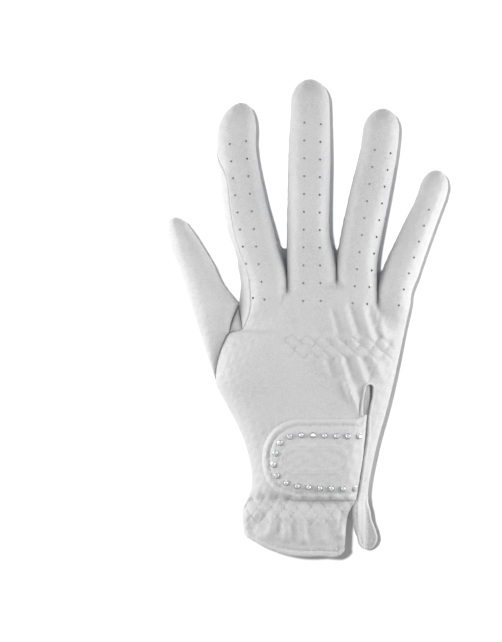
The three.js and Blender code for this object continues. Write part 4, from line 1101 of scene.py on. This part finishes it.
def sew(surface, path, pitch, thick=0.42):
    """A row of stitches along a path over a surface, sunk into it a little."""
    length = arc_length(path[None])[0][-1]
    at = (np.arange(max(1, int(length / pitch))) + 0.5) * pitch
    flat, way = path_places(path, at)
    points, normals = surface.lay(flat[:, 0], flat[:, 1], thick / 2 - STITCH_SINK)
    way = np.column_stack([way, np.zeros(len(way))])
    way = unit(way - normals * (way * normals).sum(1)[:, None])
    return stitches(points, way, normals, pitch * STITCH_SHARE, thick)


# Materials

# The step between two bands of a wave texture of scale 1
WAVE_STEP = 2 * math.pi / 20


def colour(code):
    """Linear colour from an sRGB hex value."""
    parts = [int(code[k: k + 2], 16) / 255 for k in (1, 3, 5)]
    return [c / 12.92 if c <= 0.04045 else ((c + 0.055) / 1.055) ** 2.4 for c in parts] + [1]


def node(tree, kind, links=(), **settings):
    """Adds one node. Settings are sockets by name or number, or the node's own values, and links
    are (input, output socket) pairs."""
    made = tree.nodes.new(kind)
    for name, value in settings.items():
        if hasattr(made, name):
            setattr(made, name, value)
        else:
            made.inputs[name.replace("_", " ")].default_value = value
    for place, source in links:
        tree.links.new(source, made.inputs[place])
    return made


def start_material(name, **settings):
    """A material with one Principled shader, and its tree and object coordinates."""
    material = bpy.data.materials.new(name)
    material.use_nodes = True
    tree = material.node_tree
    shader = tree.nodes["Principled BSDF"]
    for key, value in settings.items():
        shader.inputs[key.replace("_", " ")].default_value = value
    where = node(tree, "ShaderNodeTexCoord").outputs["Object"]
    return material, tree, shader, where


def leather(name, light, dark, grain, depth, rough):
    """Synthetic leather with a printed pebble grain: a smooth polyurethane skin on a knit, soft and
    nearly matt, with painted shade that makes it a little darker in the grain's valleys, mottled at
    random. The real grain of about 0.4 mm is drawn nearly twice as coarse, so that it shows."""
    material, tree, shader, where = start_material(
        name, IOR=1.45, Sheen_Weight=0.12, Sheen_Roughness=0.5
    )
    pebble = node(
        tree, "ShaderNodeTexVoronoi", [("Vector", where)], feature="SMOOTH_F1", Scale=1000 / grain
    )
    fine = node(tree, "ShaderNodeTexNoise", [("Vector", where)], Scale=2400, Detail=3)
    cloud = node(tree, "ShaderNodeTexNoise", [("Vector", where)], Scale=45, Detail=4)
    height = node(
        tree, "ShaderNodeMath", [(0, pebble.outputs["Distance"]), (1, fine.outputs[0])], operation="ADD"
    )
    bump = node(
        tree, "ShaderNodeBump", [("Height", height.outputs[0])], Strength=depth, Distance=0.00012
    )
    # Painted shade: the colour follows the grain's relief
    grain_shade = node(
        tree, "ShaderNodeMapRange", [("Value", height.outputs[0])], From_Min=0.45, From_Max=1.15
    )
    # Painted grain shade, mottled at random by the cloud noise
    grain_shade_and_mottle = node(
        tree, "ShaderNodeMath", [(0, grain_shade.outputs[0]), (1, cloud.outputs[0])], operation="MULTIPLY"
    )
    ramp = node(tree, "ShaderNodeValToRGB", [("Fac", grain_shade_and_mottle.outputs[0])])
    ramp.color_ramp.elements[0].color = colour(light)
    ramp.color_ramp.elements[1].color = colour(dark)
    ramp.color_ramp.elements[0].position = 0.1
    ramp.color_ramp.elements[1].position = 0.75
    gloss = node(
        tree, "ShaderNodeMapRange", [("Value", cloud.outputs[0])], From_Min=0.3, From_Max=0.7,
        To_Min=rough - 0.06, To_Max=rough + 0.06,
    )
    tree.links.new(ramp.outputs[0], shader.inputs["Base Color"])
    tree.links.new(gloss.outputs[0], shader.inputs["Roughness"])
    tree.links.new(bump.outputs[0], shader.inputs["Normal"])
    return material


def knit(name, light, dark, rib, depth, rough):
    """Stretch knit of elastane and polyamide: fine ribs of loops, matt with a soft sheen. rib is
    the step between two ribs in millimetres. The real one of about 0.4 is drawn more than twice as
    coarse, so that it shows."""
    material, tree, shader, where = start_material(name, Sheen_Weight=0.3, Sheen_Roughness=0.4)
    wales = node(
        tree, "ShaderNodeTexWave", [("Vector", where)], bands_direction="X",
        Scale=1000 * WAVE_STEP / rib, Distortion=1.2, Detail=2,
    )
    courses = node(
        tree, "ShaderNodeTexWave", [("Vector", where)], bands_direction="Y",
        Scale=1000 * WAVE_STEP / (rib * 0.8), Distortion=1.5,
    )
    loops = node(
        tree, "ShaderNodeMath", [(0, wales.outputs[1]), (1, courses.outputs[1])], operation="MULTIPLY"
    )
    bump = node(tree, "ShaderNodeBump", [("Height", loops.outputs[0])], Strength=depth, Distance=0.0002)
    ramp = node(tree, "ShaderNodeValToRGB", [("Fac", loops.outputs[0])])
    ramp.color_ramp.elements[0].color = colour(dark)
    ramp.color_ramp.elements[1].color = colour(light)
    shader.inputs["Roughness"].default_value = rough
    tree.links.new(ramp.outputs[0], shader.inputs["Base Color"])
    tree.links.new(bump.outputs[0], shader.inputs["Normal"])
    return material


def thread_material():
    """Spun polyester thread: white, matt, with the turns of its ply."""
    material, tree, shader, where = start_material("polyester_thread", Sheen_Weight=0.2)
    ply = node(
        tree, "ShaderNodeTexWave", [("Vector", where)], bands_direction="DIAGONAL", Scale=420,
        Distortion=1.0,
    )
    bump = node(tree, "ShaderNodeBump", [("Height", ply.outputs[1])], Strength=0.4, Distance=0.0001)
    ramp = node(tree, "ShaderNodeValToRGB", [("Fac", ply.outputs[1])])
    ramp.color_ramp.elements[0].color = colour("#D2D3D6")
    ramp.color_ramp.elements[1].color = colour("#F2F2F2")
    shader.inputs["Roughness"].default_value = 0.6
    tree.links.new(ramp.outputs[0], shader.inputs["Base Color"])
    tree.links.new(bump.outputs[0], shader.inputs["Normal"])
    return material


def metal_material():
    """Silver-plated brass cups, stamped and polished, with faint handling haze."""
    material, tree, shader, where = start_material("silver_plate", Metallic=1.0)
    haze = node(tree, "ShaderNodeTexNoise", [("Vector", where)], Scale=900, Detail=3)
    rough = node(tree, "ShaderNodeMapRange", [("Value", haze.outputs[0])], To_Min=0.16, To_Max=0.34)
    ramp = node(tree, "ShaderNodeValToRGB", [("Fac", haze.outputs[0])])
    ramp.color_ramp.elements[0].color = colour("#C9CBCE")
    ramp.color_ramp.elements[1].color = colour("#E4E5E8")
    tree.links.new(ramp.outputs[0], shader.inputs["Base Color"])
    tree.links.new(rough.outputs[0], shader.inputs["Roughness"])
    return material


def crystal_material():
    """Foil-backed lead crystal: clear cut glass whose mirrored back throws the light out again, so
    it is drawn as a bright, very smooth coat over a silvery body, with painted sparkle in small
    bright flecks."""
    material, tree, shader, where = start_material(
        "foiled_crystal", Metallic=0.25, IOR=1.6, Coat_Weight=1.0, Coat_Roughness=0.03
    )
    # Painted sparkle: bright flecks under a millimetre across in the stones' colour
    painted_sparkle = node(tree, "ShaderNodeTexVoronoi", [("Vector", where)], Scale=1400)
    ramp = node(tree, "ShaderNodeValToRGB", [("Fac", painted_sparkle.outputs["Distance"])])
    ramp.color_ramp.elements[0].color = colour("#FFFFFF")
    ramp.color_ramp.elements[1].color = colour("#E3E5E9")
    shader.inputs["Roughness"].default_value = 0.12
    tree.links.new(ramp.outputs[0], shader.inputs["Base Color"])
    return material


# Each leather's darker colour is its painted grain shade, mottled at random
LEATHER = leather("synthetic_leather", "#E4E4E4", "#D2D2D3", 0.75, 0.34, 0.52)
TRIM = leather("trim_leather", "#E9E9E9", "#D9D9DA", 0.7, 0.25, 0.45)
KNIT = knit("stretch_knit", "#DADCDF", "#C2C5CA", 1.0856, 0.5, 0.75)
LINING = knit("brushed_lining", "#D6D6D6", "#BDBEC0", 1.3817, 0.6, 0.9)
THREAD = thread_material()
SILVER = metal_material()
CRYSTAL = crystal_material()

# Panels

panels = build_panels()
PANEL_SLOT = {
    "index_side_band": ("trim_leather", TRIM),
    "fourchette_index_middle": ("stretch_fabric", KNIT),
    "fourchette_middle_ring": ("stretch_fabric", KNIT),
    "fourchette_ring_little": ("stretch_fabric", KNIT),
}
pieces = {}
back_surface = None
for name, panel in panels.items():
    slot, material = PANEL_SLOT.get(name, ("synthetic_leather", LEATHER))
    points, quads, tris, slots = wall_of(name, panel)
    shown = make_object(name + "_cut", points, quads, tris, (material, LINING), slots)
    pieces[name] = shown
    if name == "back_panel":
        outer = points[: len(panel.vertices)]
        back_surface = Surface(outer, vertex_normals(outer, panel.faces4, panel.faces3))
    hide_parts(name)
    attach(shown, "root")


# Holes, keyhole and slit


def hole_places():
    """Two rows of holes down each finger's back and one down the little finger's. Each row runs
    evenly from its first hole to its last, with a slight bow to one side."""
    places = []
    for x0, y0, x1, y1, bow, count in zip(*HOLES_AT.values()):
        t = np.linspace(0, 1, int(count))
        x = mix(x0, x1, t) + bow * 4 * t * (1 - t)
        places.append(np.column_stack([x, mix(y0, y1, t)]))
    return np.concatenate(places)


def hole_cutter(places):
    """Short upright pins, one through the back at each hole."""
    z, unused = back_surface.at(places[:, 0], places[:, 1])
    radius = HOLE_DIAMETER / 2
    pin = turned_shape([(0, -4), (radius, -4), (radius, 3), (0, 3)], 12)
    frames = np.tile(np.eye(3), (len(places), 1, 1))
    return make_object("hole_pins", *copies(pin, np.column_stack([places, z]), frames))


def keyhole_path(offset, tail=0.0, steps=60):
    """The keyhole's outline at a distance outside its edge: up one side, round the top and down
    the other side. It is widest below its top and leans to one side further down."""
    down = np.linspace(0, 1, steps)
    y = -(KEYHOLE["length"] + tail) * down
    at = -y / KEYHOLE["length"]
    half = read(KEYHOLE_SHAPE, "down", "half", at) + offset
    shift = read(KEYHOLE_SHAPE, "down", "shift", at)
    angle = np.linspace(np.pi, 0, steps)[1:-1]
    x = np.concatenate([(shift - half)[::-1], half[0] * np.cos(angle), shift + half])
    y = np.concatenate([y[::-1], half[0] * np.sin(angle), y])
    return np.column_stack([across(KEYHOLE["across"]) + x, along(KEYHOLE["along"]) + y])


def slit_x(y):
    """The slit's middle line: its place across at a height along the hand."""
    rows = dict(at=-along(SLIT_LINE["along"]), across=SLIT_LINE["across"])
    return across(read(rows, "at", "across", -np.asarray(y)))


def slit_outline():
    """The slit and everything past its mouth that isn't part of the back."""
    y = np.linspace(along(SLIT_LINE["along"][0]), along(SLIT_LINE["along"][-1]), 60)
    middle = np.column_stack([slit_x(y), y])
    low = np.linspace(y[-1] - 0.6, along(SLIT_MOUTH["along"][-1]), 40)
    edge = np.column_stack([mouth_x(low), low])
    beyond = np.array([[55, low[-1]], [55, y[-1]]])
    half = np.array([SLIT_WIDTH / 2, 0])
    return np.concatenate([middle - half, edge, beyond, (middle + half)[::-1]])


HOLES = hole_places()
back_piece = pieces["back_panel"]
cut_away(back_piece, hole_cutter(HOLES))
cut_away(back_piece, prism("keyhole_cutter", keyhole_path(0.2, 1.0)[::-1], 2, 60))
cut_away(back_piece, prism("slit_cutter", slit_outline(), -10, 60))


# Strap


STRAP_MIDDLE = float(along(STRAP["along"]))
STRAP_LEFT = float(across(STRAP["across"])) - STRAP["length"]
STRAP_TURN = STRAP_LEFT + STRAP["radius"]
STRAP_PROFILE = table(
    "reach thick",
    (0, 0), (0.12, 0.75), (0.4, 1.35), (1.0, 2.05), (1.9, 2.35), (2.8, 2.15), (3.5, 1.75),
    (4.2, 1.95), (5.2, 2.35), (9, 2.5), (21, 2.6),
)


def strap_rise(x, right):
    """How far the strap's upper edge turns up beside the slit, towards the keyhole."""
    return 1.8 * (1 - ease((right - x) / 6))


def strap_reach(x, v):
    """Distance of a place on the strap from its outline, but for the right end."""
    v = v - strap_rise(x, slit_x(STRAP_MIDDLE + v)) * ease(v / 14)
    beyond = np.hypot(
        np.maximum(STRAP_TURN - x, 0), np.maximum(np.abs(v) - (STRAP["width"] / 2 - STRAP["radius"]), 0)
    )
    return STRAP["radius"] - beyond


def strap_thickness(x, y):
    """Rolled rim, stitched valley and padded field by the distance from the outline. A plain
    double border stands a little proud in the field, and the right end rolls off into the slit."""
    v = y - STRAP_MIDDLE
    thick = read(STRAP_PROFILE, "reach", "thick", strap_reach(x, v))
    past = np.maximum(np.abs(x - (STRAP_LEFT + BORDER["middle"])) - BORDER["half_length"], 0)
    for radius in BORDER["radii"]:
        thick += BORDER["height"] * np.exp(-(((np.hypot(past, v) - radius) / BORDER["width"]) ** 2))
    end = np.clip((slit_x(y) - x) / 0.8, 0, 1)
    tucked = mix(0.42, 1, ease((slit_x(y) - x) / 7))
    return np.maximum(thick, 0) * tucked * np.sqrt(1 - (1 - end) ** 2)


def strap_half(sign, straight=50, bend=60, columns=44):
    """Half of the strap as a grid: one way runs along the outline from the right end to the far
    left, the other from the outline in to the middle line, which both halves share. At its right
    end the upper edge turns up towards the keyhole."""
    flat = STRAP["width"] / 2 - STRAP["radius"]
    edge_y = STRAP_MIDDLE + sign * STRAP["width"] / 2
    right = float(slit_x(edge_y))
    t = np.linspace(0, 1, straight)
    x = mix(right, STRAP_TURN, t)
    rise = strap_rise(x, right) * (sign > 0)
    angle = np.linspace(0, np.pi / 2, bend + 1)[1:]
    edge = np.concatenate([
        np.column_stack([x, edge_y + rise]),
        np.column_stack([
            STRAP_TURN - STRAP["radius"] * np.sin(angle),
            STRAP_MIDDLE + sign * (flat + STRAP["radius"] * np.cos(angle)),
        ]),
        [[STRAP_LEFT, STRAP_MIDDLE + sign * flat * left] for left in (0.66, 0.33, 0)],
    ])
    spine_x = np.concatenate([
        mix(float(slit_x(STRAP_MIDDLE)), STRAP_TURN, t),
        mix(STRAP_TURN, STRAP_LEFT + 9, np.linspace(0, 1, bend + 4)[1:]),
    ])
    spine = np.column_stack([spine_x, np.full(len(spine_x), STRAP_MIDDLE)])
    share = np.linspace(0, 1, columns) ** 1.5
    grid = edge[:, None] + (spine - edge)[:, None] * share[:, None]
    return grid


def sheet_solid(grids, bottom_at, thickness_at):
    """A closed pad over flat grids: its underside follows a given height, and its top lies a given
    thickness above it, which is nothing along the outline."""
    tops = Panel()
    for grid, turned in grids:
        rows = np.concatenate([grid, np.zeros(grid.shape[:2] + (1,))], -1)
        tops.add(rows, 0.0, turned=turned)
    tops.weld()
    x, y = tops.vertices[:, 0], tops.vertices[:, 1]
    low = bottom_at(x, y)
    edges = open_edges(tops.faces4, tops.faces3)
    on_edge = np.zeros(len(x), bool)
    on_edge[edges.ravel()] = True
    thick = np.where(on_edge, 0, np.maximum(thickness_at(x, y), 0.05))
    top = np.column_stack([x, y, low + thick])
    bottom = np.column_stack([x, y, low])
    size = len(x)
    under = np.arange(size) + size
    under[on_edge] = np.arange(size)[on_edge]
    quads = np.concatenate([tops.faces4, under[tops.faces4][:, ::-1]])
    tris = np.concatenate([tops.faces3, under[tops.faces3][:, ::-1]])
    return np.concatenate([top, bottom]), quads, tris, size, tops


strap_points, strap_quads, strap_tris, strap_size, strap_flat = sheet_solid(
    [(strap_half(1), False), (strap_half(-1), True)],
    lambda x, y: back_surface.at(x, y)[0] + STRAP_LIFT,
    strap_thickness,
)
strap_piece = make_object("padded_strap", strap_points, strap_quads, strap_tris, (TRIM,), sharp=60)
strap_surface = Surface(
    strap_points[:strap_size],
    vertex_normals(strap_points[:strap_size], strap_flat.faces4, strap_flat.faces3),
)
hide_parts("wrist_strap")
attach(strap_piece, "root")


# Hole lining

# The lining swells up into each hole and closes its bottom
hole_seats, hole_normals = back_surface.lay(HOLES[:, 0], HOLES[:, 1], -HOLE_DEPTH)
swell = turned_shape([(0, 0), (0.6, 0), (0.62, 0.1), (0.4, 0.2), (0, 0.24)], 12)
hole_lining = make_object(
    "hole_lining", *copies(swell, hole_seats, upright_on(hole_normals)), (LINING,), sharp=60
)
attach(hole_lining, "root")


# Stones


def stone_places():
    """Evenly along the stones' line, from the slit round the strap's left end and back."""
    line = smooth_path(STONE_LINE, 0.2)
    at = np.linspace(0, arc_length(line[None])[0][-1], STONE_COUNT)
    return path_places(line, at)[0]


STONES = stone_places()
stone_seats, stone_normals = strap_surface.lay(STONES[:, 0], STONES[:, 1], -0.1)
stone_frames = upright_on(stone_normals)
cup = turned_shape(
    [(0, 0), (1.3, 0), (1.5, 0.12), (1.5, 0.5), (1.42, 0.68), (1.24, 0.74), (1.14, 0.6), (0, 0.5)], 24
)
crystal = turned_shape(
    [(0, 0.45), (1.12, 0.5), (1.2, 0.72), (1.02, 1.0), (0.66, 1.28), (0, 1.3)], 12,
    twist=(0, 0, 0, 0.5, 0, 0),
)
cups = make_object("stone_cups", *copies(cup, stone_seats, stone_frames), (SILVER,), sharp=30)
stones = make_object("cut_stones", *copies(crystal, stone_seats, stone_frames), (CRYSTAL,), sharp=5)
claw_angle = 2 * np.pi * np.arange(4) / 4 + np.pi / 4
claw_shapes = []
for angle in claw_angle:
    out = np.array([math.cos(angle), math.sin(angle), 0])
    claw_path = np.stack([out * 1.4 + [0, 0, 0.3], out * 1.36 + [0, 0, 0.75], out * 1.12 + [0, 0, 0.98]])
    claw_shapes.append(tube(claw_path, np.tile(np.cross(out, [0, 0, 1]), (3, 1)), 0.3, 0.3, 6))
claws = make_object(
    "stone_claws", *copies(merge(*claw_shapes), stone_seats, stone_frames), (SILVER,), sharp=50
)
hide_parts(*[f"stone_{k + 1:02d}" for k in range(len(STONES))])
for part in (cups, stones, claws):
    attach(part, "root")


# Binding, tab and underlay


TAB_CUT = float(along(SLIT_LINE["along"][-1]))


def binding_parts():
    """The bead round the keyhole, and the rolled edge that the slit's outer side turns over the
    strap: oval sections carried along them over the back."""
    path = keyhole_path(BINDING_WIDTH / 2, steps=70)
    top_x = float(across(KEYHOLE["across"]))
    z, n = back_surface.at(mix(top_x, path[:, 0], 1.4), path[:, 1])
    points = np.column_stack([path, z - BINDING_HEIGHT * 0.15])
    y = np.linspace(along(KEYHOLE["along"]) - KEYHOLE["length"] + 0.5, TAB_CUT + 0.3, 120)
    edge, normals = back_surface.lay(slit_x(y) + SLIT_WIDTH / 2 + 0.75, y, 0.0)
    ends = np.sqrt(1 - (2 * np.linspace(0.004, 0.996, len(y)) - 1) ** 12)
    rolled = tube(edge, normals, 1.75 * ends, 1.5 * ends, 12, low=-0.05)
    return merge(tube(points, n, BINDING_WIDTH, BINDING_HEIGHT, 16), rolled)


binding = make_object("keyhole_bead", *binding_parts(), (TRIM,), sharp=60)
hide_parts("keyhole_binding")
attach(binding, "root")


def tab_parts(columns=41):
    """The pull tab: it grows out of the strip beside the slit, widens and ends in a half circle.
    Its two faces meet in a round rim, and a shallow oval is pressed into it near the end."""
    angle = np.linspace(0, 1, 100)[:-1]
    top, widest, foot = TAB["at"][0], TAB["at"][-1], -TAB_FOOT
    y = -mix(top, foot, np.sin(np.pi / 2 * angle))[:, None]
    side = np.sin(np.pi / 2 * np.linspace(-1, 1, columns))
    past = np.clip((-y - widest) / (foot - widest), 0, 1)
    half = read(TAB, "at", "half", -y) * np.sqrt(1 - past**2)
    x = read(TAB, "at", "centre", -y) + side * half
    y = y + 0 * x
    held = np.clip(x, TAB["centre"][0] - 2.6, TAB["centre"][0] + 2.2)
    base = back_surface.at(held.ravel(), np.maximum(y, TAB_CUT + 1).ravel())[0].reshape(x.shape)
    free = np.clip((TAB_CUT - y) / (TAB_CUT - TAB_FOOT), 0, 1)
    face = base + 0.1 + 0.3 * ease(free * 6) - TAB_DROOP * free**2
    reach = np.minimum(half * (1 - np.abs(side)), (foot + y) * 0.98)
    round_rim = np.sqrt(1 - (1 - np.clip(reach / 1.0, 0, 1)) ** 2)
    pressed = 0.22 * np.exp(-(((reach - 2.0) / 0.35) ** 2))
    oval = np.hypot((x - TAB["centre"][-1] + 0.6) / 1.5, (y - TAB_FOOT - 7.6) / 2.6)
    pressed += 0.14 * np.exp(-(((oval - 1) / 0.25) ** 2))
    rounding = TAB_THICKNESS / 2 * (1 - round_rim)
    upper = np.stack([x, y, face - rounding - pressed * ease(free * 8)], -1)
    lower = np.stack([x, y, face - TAB_THICKNESS + rounding], -1)
    ring = np.concatenate([upper, lower[:, ::-1], upper[:, :1]], axis=1)
    panel = Panel()
    tip = [TAB["centre"][-1], TAB_FOOT, ring[-1, :, 2].mean()]
    panel.add(ring, 0.0, start=ring[0, :-1].mean(0), end=tip)
    panel.weld()
    index = np.arange(upper.shape[0] * columns).reshape(-1, columns)
    corners = (index[:-1, :-1], index[1:, :-1], index[1:, 1:], index[:-1, 1:])
    quads = np.stack(corners, -1).reshape(-1, 4)
    points = upper.reshape(-1, 3)
    return panel, Surface(points, vertex_normals(points, quads, quads[:, :3]))


tab_panel, tab_surface = tab_parts()
tab_piece = make_object(
    "round_pull_tab", tab_panel.vertices, tab_panel.faces4, tab_panel.faces3, (TRIM,), sharp=60
)
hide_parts("pull_tab")
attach(tab_piece, "root")


def underlay_parts(columns=31):
    """The lining flap under the slit and the keyhole: a thin sheet that lies against the back's
    inner face on the left and sinks away from it on the right."""
    y = np.linspace(along(KEYHOLE["along"]) + 5, STRAP_MIDDLE - STRAP["width"] / 2 + 2, 90)[:, None]
    side = np.linspace(-7.5, 4.5, columns)
    x = slit_x(np.minimum(y, along(SLIT_LINE["along"][0]))) + side + 0 * y
    z = back_surface.at(x.ravel(), y.repeat(columns, 1).ravel())[0].reshape(x.shape)
    z = z - WALL + 0.25 - 1.6 * ease((side - 0.6) / 1.8)
    top = np.stack([x, y + 0 * x, z], -1)
    low = top - np.array([0, 0, UNDERLAY_THICKNESS])
    ring = np.concatenate([top, low[:, ::-1], top[:, :1]], axis=1)
    panel = Panel()
    panel.add(ring, 0.0, start=ring[0, :-1].mean(0), end=ring[-1, :-1].mean(0))
    return panel.weld()


underlay = underlay_parts()
underlay_piece = make_object(
    "slit_underlay", underlay.vertices, underlay.faces4, underlay.faces3, (LINING,), sharp=50
)
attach(underlay_piece, "root")


# Stitches


def gather_paths(rows):
    """The zigzag rows' own lines on the ground plane."""
    paths = []
    for x0, y0, x1, y1, wave, swing, *unused in zip(*rows.values()):
        corners = np.arange(x0, x1, wave / 2)
        middle = y0 + (y1 - y0) * (corners - x0) / (x1 - x0)
        paths.append(np.column_stack([corners, middle + swing * zigzag(corners - x0, wave)]))
    return paths


def keep_clear(path, *tests):
    """The stretches of a path where every test holds, as separate paths."""
    dense_at = np.arange(0, arc_length(path[None])[0][-1], 0.25)
    dense, unused = path_places(path, dense_at)
    good = np.ones(len(dense), bool)
    for test in tests:
        good &= test(dense[:, 0], dense[:, 1])
    breaks = np.flatnonzero(np.diff(good.astype(int))) + 1
    return [p for p, g in zip(np.split(dense, breaks), np.split(good, breaks)) if g[0] and len(p) > 8]


def off_strap(x, y):
    """Whether places are clear of the strap, or past the slit."""
    return (strap_reach(x, y - STRAP_MIDDLE) < -0.8) | (x > slit_x(y))


def off_slit(x, y):
    """Whether places are clear of the slit and inside its mouth's edge."""
    return np.where(y < along(0.2), x < mouth_x(y) - 1.5, np.abs(x - slit_x(y)) > 1.5)


gather_sewn = []
for path in gather_paths(GATHERS):
    for part in keep_clear(path, off_strap, off_slit):
        gather_sewn.append(sew(back_surface, part, pitch=1.5, thick=0.36))
gather_stitches = make_object("gather_stitches", *merge(*gather_sewn), (THREAD,), sharp=60)

outline = np.concatenate([strap_half(1)[:, 0], strap_half(-1)[::-1][1:, 0]])
way = unit(np.gradient(outline, axis=0))
inward = np.column_stack([-way[:, 1], way[:, 0]])
rim_path = outline + inward * 3.5
strap_stitches = make_object(
    "strap_stitches",
    *merge(*[
        sew(strap_surface, part, pitch=2.3)
        for part in keep_clear(rim_path, lambda x, y: x < slit_x(y) - 1)
    ]),
    (THREAD,), sharp=60,
)

hem_x = np.linspace(-0.36, 0.2, 60) * PALM_WIDTH
hem_y = along(read(BACK_HEM, "across", "along", hem_x / PALM_WIDTH)) + SEWN_IN
slit_low = np.linspace(along(0.18), along(0.03), 40)
slit_side = np.column_stack([mouth_x(slit_low) - SEWN_IN, slit_low])
hem_sewn = [
    sew(back_surface, part, pitch=2.5)
    for path in (np.column_stack([hem_x, hem_y]), slit_side)
    for part in keep_clear(path, off_slit)
]
hem_stitches = make_object("hem_stitches", *merge(*hem_sewn), (THREAD,), sharp=60)

tab_rows = np.linspace(TAB_CUT - 1.5, TAB_FOOT + 2.1, 80)
tab_past = np.clip((-tab_rows - TAB["at"][-1]) / (-TAB_FOOT - 2.0 - TAB["at"][-1]), 0, 1)
tab_half = (read(TAB, "at", "half", -tab_rows) - 2.0) * np.sqrt(1 - tab_past**2)
tab_middle = read(TAB, "at", "centre", -tab_rows)
tab_path = np.concatenate([
    np.column_stack([tab_middle - tab_half, tab_rows]),
    np.column_stack([tab_middle + tab_half, tab_rows])[::-1],
])
tab_stitches = make_object(
    "tab_stitches", *sew(tab_surface, tab_path, pitch=2.2, thick=0.4), (THREAD,), sharp=60
)

for sewn in (gather_stitches, strap_stitches, hem_stitches, tab_stitches):
    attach(sewn, "root")


# Floor, light and camera


def sun(name, strength, azimuth, elevation, spread_angle):
    """A far softbox: its light falls from an azimuth, measured from +X towards +Y, and an
    elevation, both in degrees."""
    light = bpy.data.lights.new(name, "SUN")
    light.energy = strength * math.pi
    light.angle = math.radians(spread_angle)
    obj = bpy.data.objects.new(name, light)
    obj.rotation_euler = (0, math.radians(90 - elevation), math.radians(azimuth))
    bpy.context.scene.collection.objects.link(obj)
    return obj


def softbox(name, power, place, size):
    """A square softbox beside the glove, which faces its middle."""
    light = bpy.data.lights.new(name, "AREA")
    light.energy = power
    light.shape = "SQUARE"
    light.size = size
    obj = bpy.data.objects.new(name, light)
    obj.location = place
    x, y, z = place
    obj.rotation_euler = (0, math.atan2(math.hypot(x, y), z - 0.01), math.atan2(y, x))
    bpy.context.scene.collection.objects.link(obj)
    return obj


def floor_and_light():
    """A pale matt floor, two near side softboxes and an overhead light for the glove, and one more
    light for the floor alone, which gives the narrow shadow."""
    size = 6.0
    mesh = bpy.data.meshes.new("floor")
    corners = [(-size, -size, 0), (size, -size, 0), (size, size, 0), (-size, size, 0)]
    mesh.from_pydata(corners, [], [(0, 1, 2, 3)])
    floor = bpy.data.objects.new("floor", mesh)
    bpy.context.scene.collection.objects.link(floor)
    material, tree, shader, where = start_material("matt_paper", Roughness=0.9)
    shade = node(tree, "ShaderNodeTexNoise", [("Vector", where)], Scale=3)
    ramp = node(tree, "ShaderNodeValToRGB", [("Fac", shade.outputs[0])])
    ramp.color_ramp.elements[0].color = colour("#FAFAFA")
    ramp.color_ramp.elements[1].color = colour("#FCFCFC")
    tree.links.new(ramp.outputs[0], shader.inputs["Base Color"])
    mesh.materials.append(material)
    world = bpy.data.worlds.new("studio")
    world.use_nodes = True
    world.node_tree.nodes["Background"].inputs[0].default_value = (1, 1, 1, 1)
    world.node_tree.nodes["Background"].inputs[1].default_value = 0.3
    bpy.context.scene.world = world
    glove_lights = (
        softbox("left_softbox", 0.9, (-0.36, 0.02, 0.15), 0.2),
        softbox("right_softbox", 0.96, (0.36, 0.0, 0.15), 0.2),
        sun("top_softbox", 0.13, 120, 75, 30),
    )
    floor_light = sun("floor_light", 0.82, 150, 75, 4)
    only_floor = bpy.data.collections.new("lit_floor")
    only_floor.objects.link(floor)
    floor_light.light_linking.receiver_collection = only_floor
    no_floor = bpy.data.collections.new("lit_glove")
    no_floor.objects.link(floor)
    no_floor.collection_objects[0].light_linking.link_state = "EXCLUDE"
    for light in glove_lights:
        light.light_linking.receiver_collection = no_floor


def overhead_camera():
    """A long lens straight over the glove, the fingers up."""
    data = bpy.data.cameras.new("camera")
    data.lens = LENS
    data.sensor_width = 36
    data.clip_end = 20
    camera = bpy.data.objects.new("camera", data)
    camera.location = CAMERA_PLACE
    bpy.context.scene.collection.objects.link(camera)
    bpy.context.scene.camera = camera


floor_and_light()
overhead_camera()
bpy.context.scene.view_settings.view_transform = "Standard"
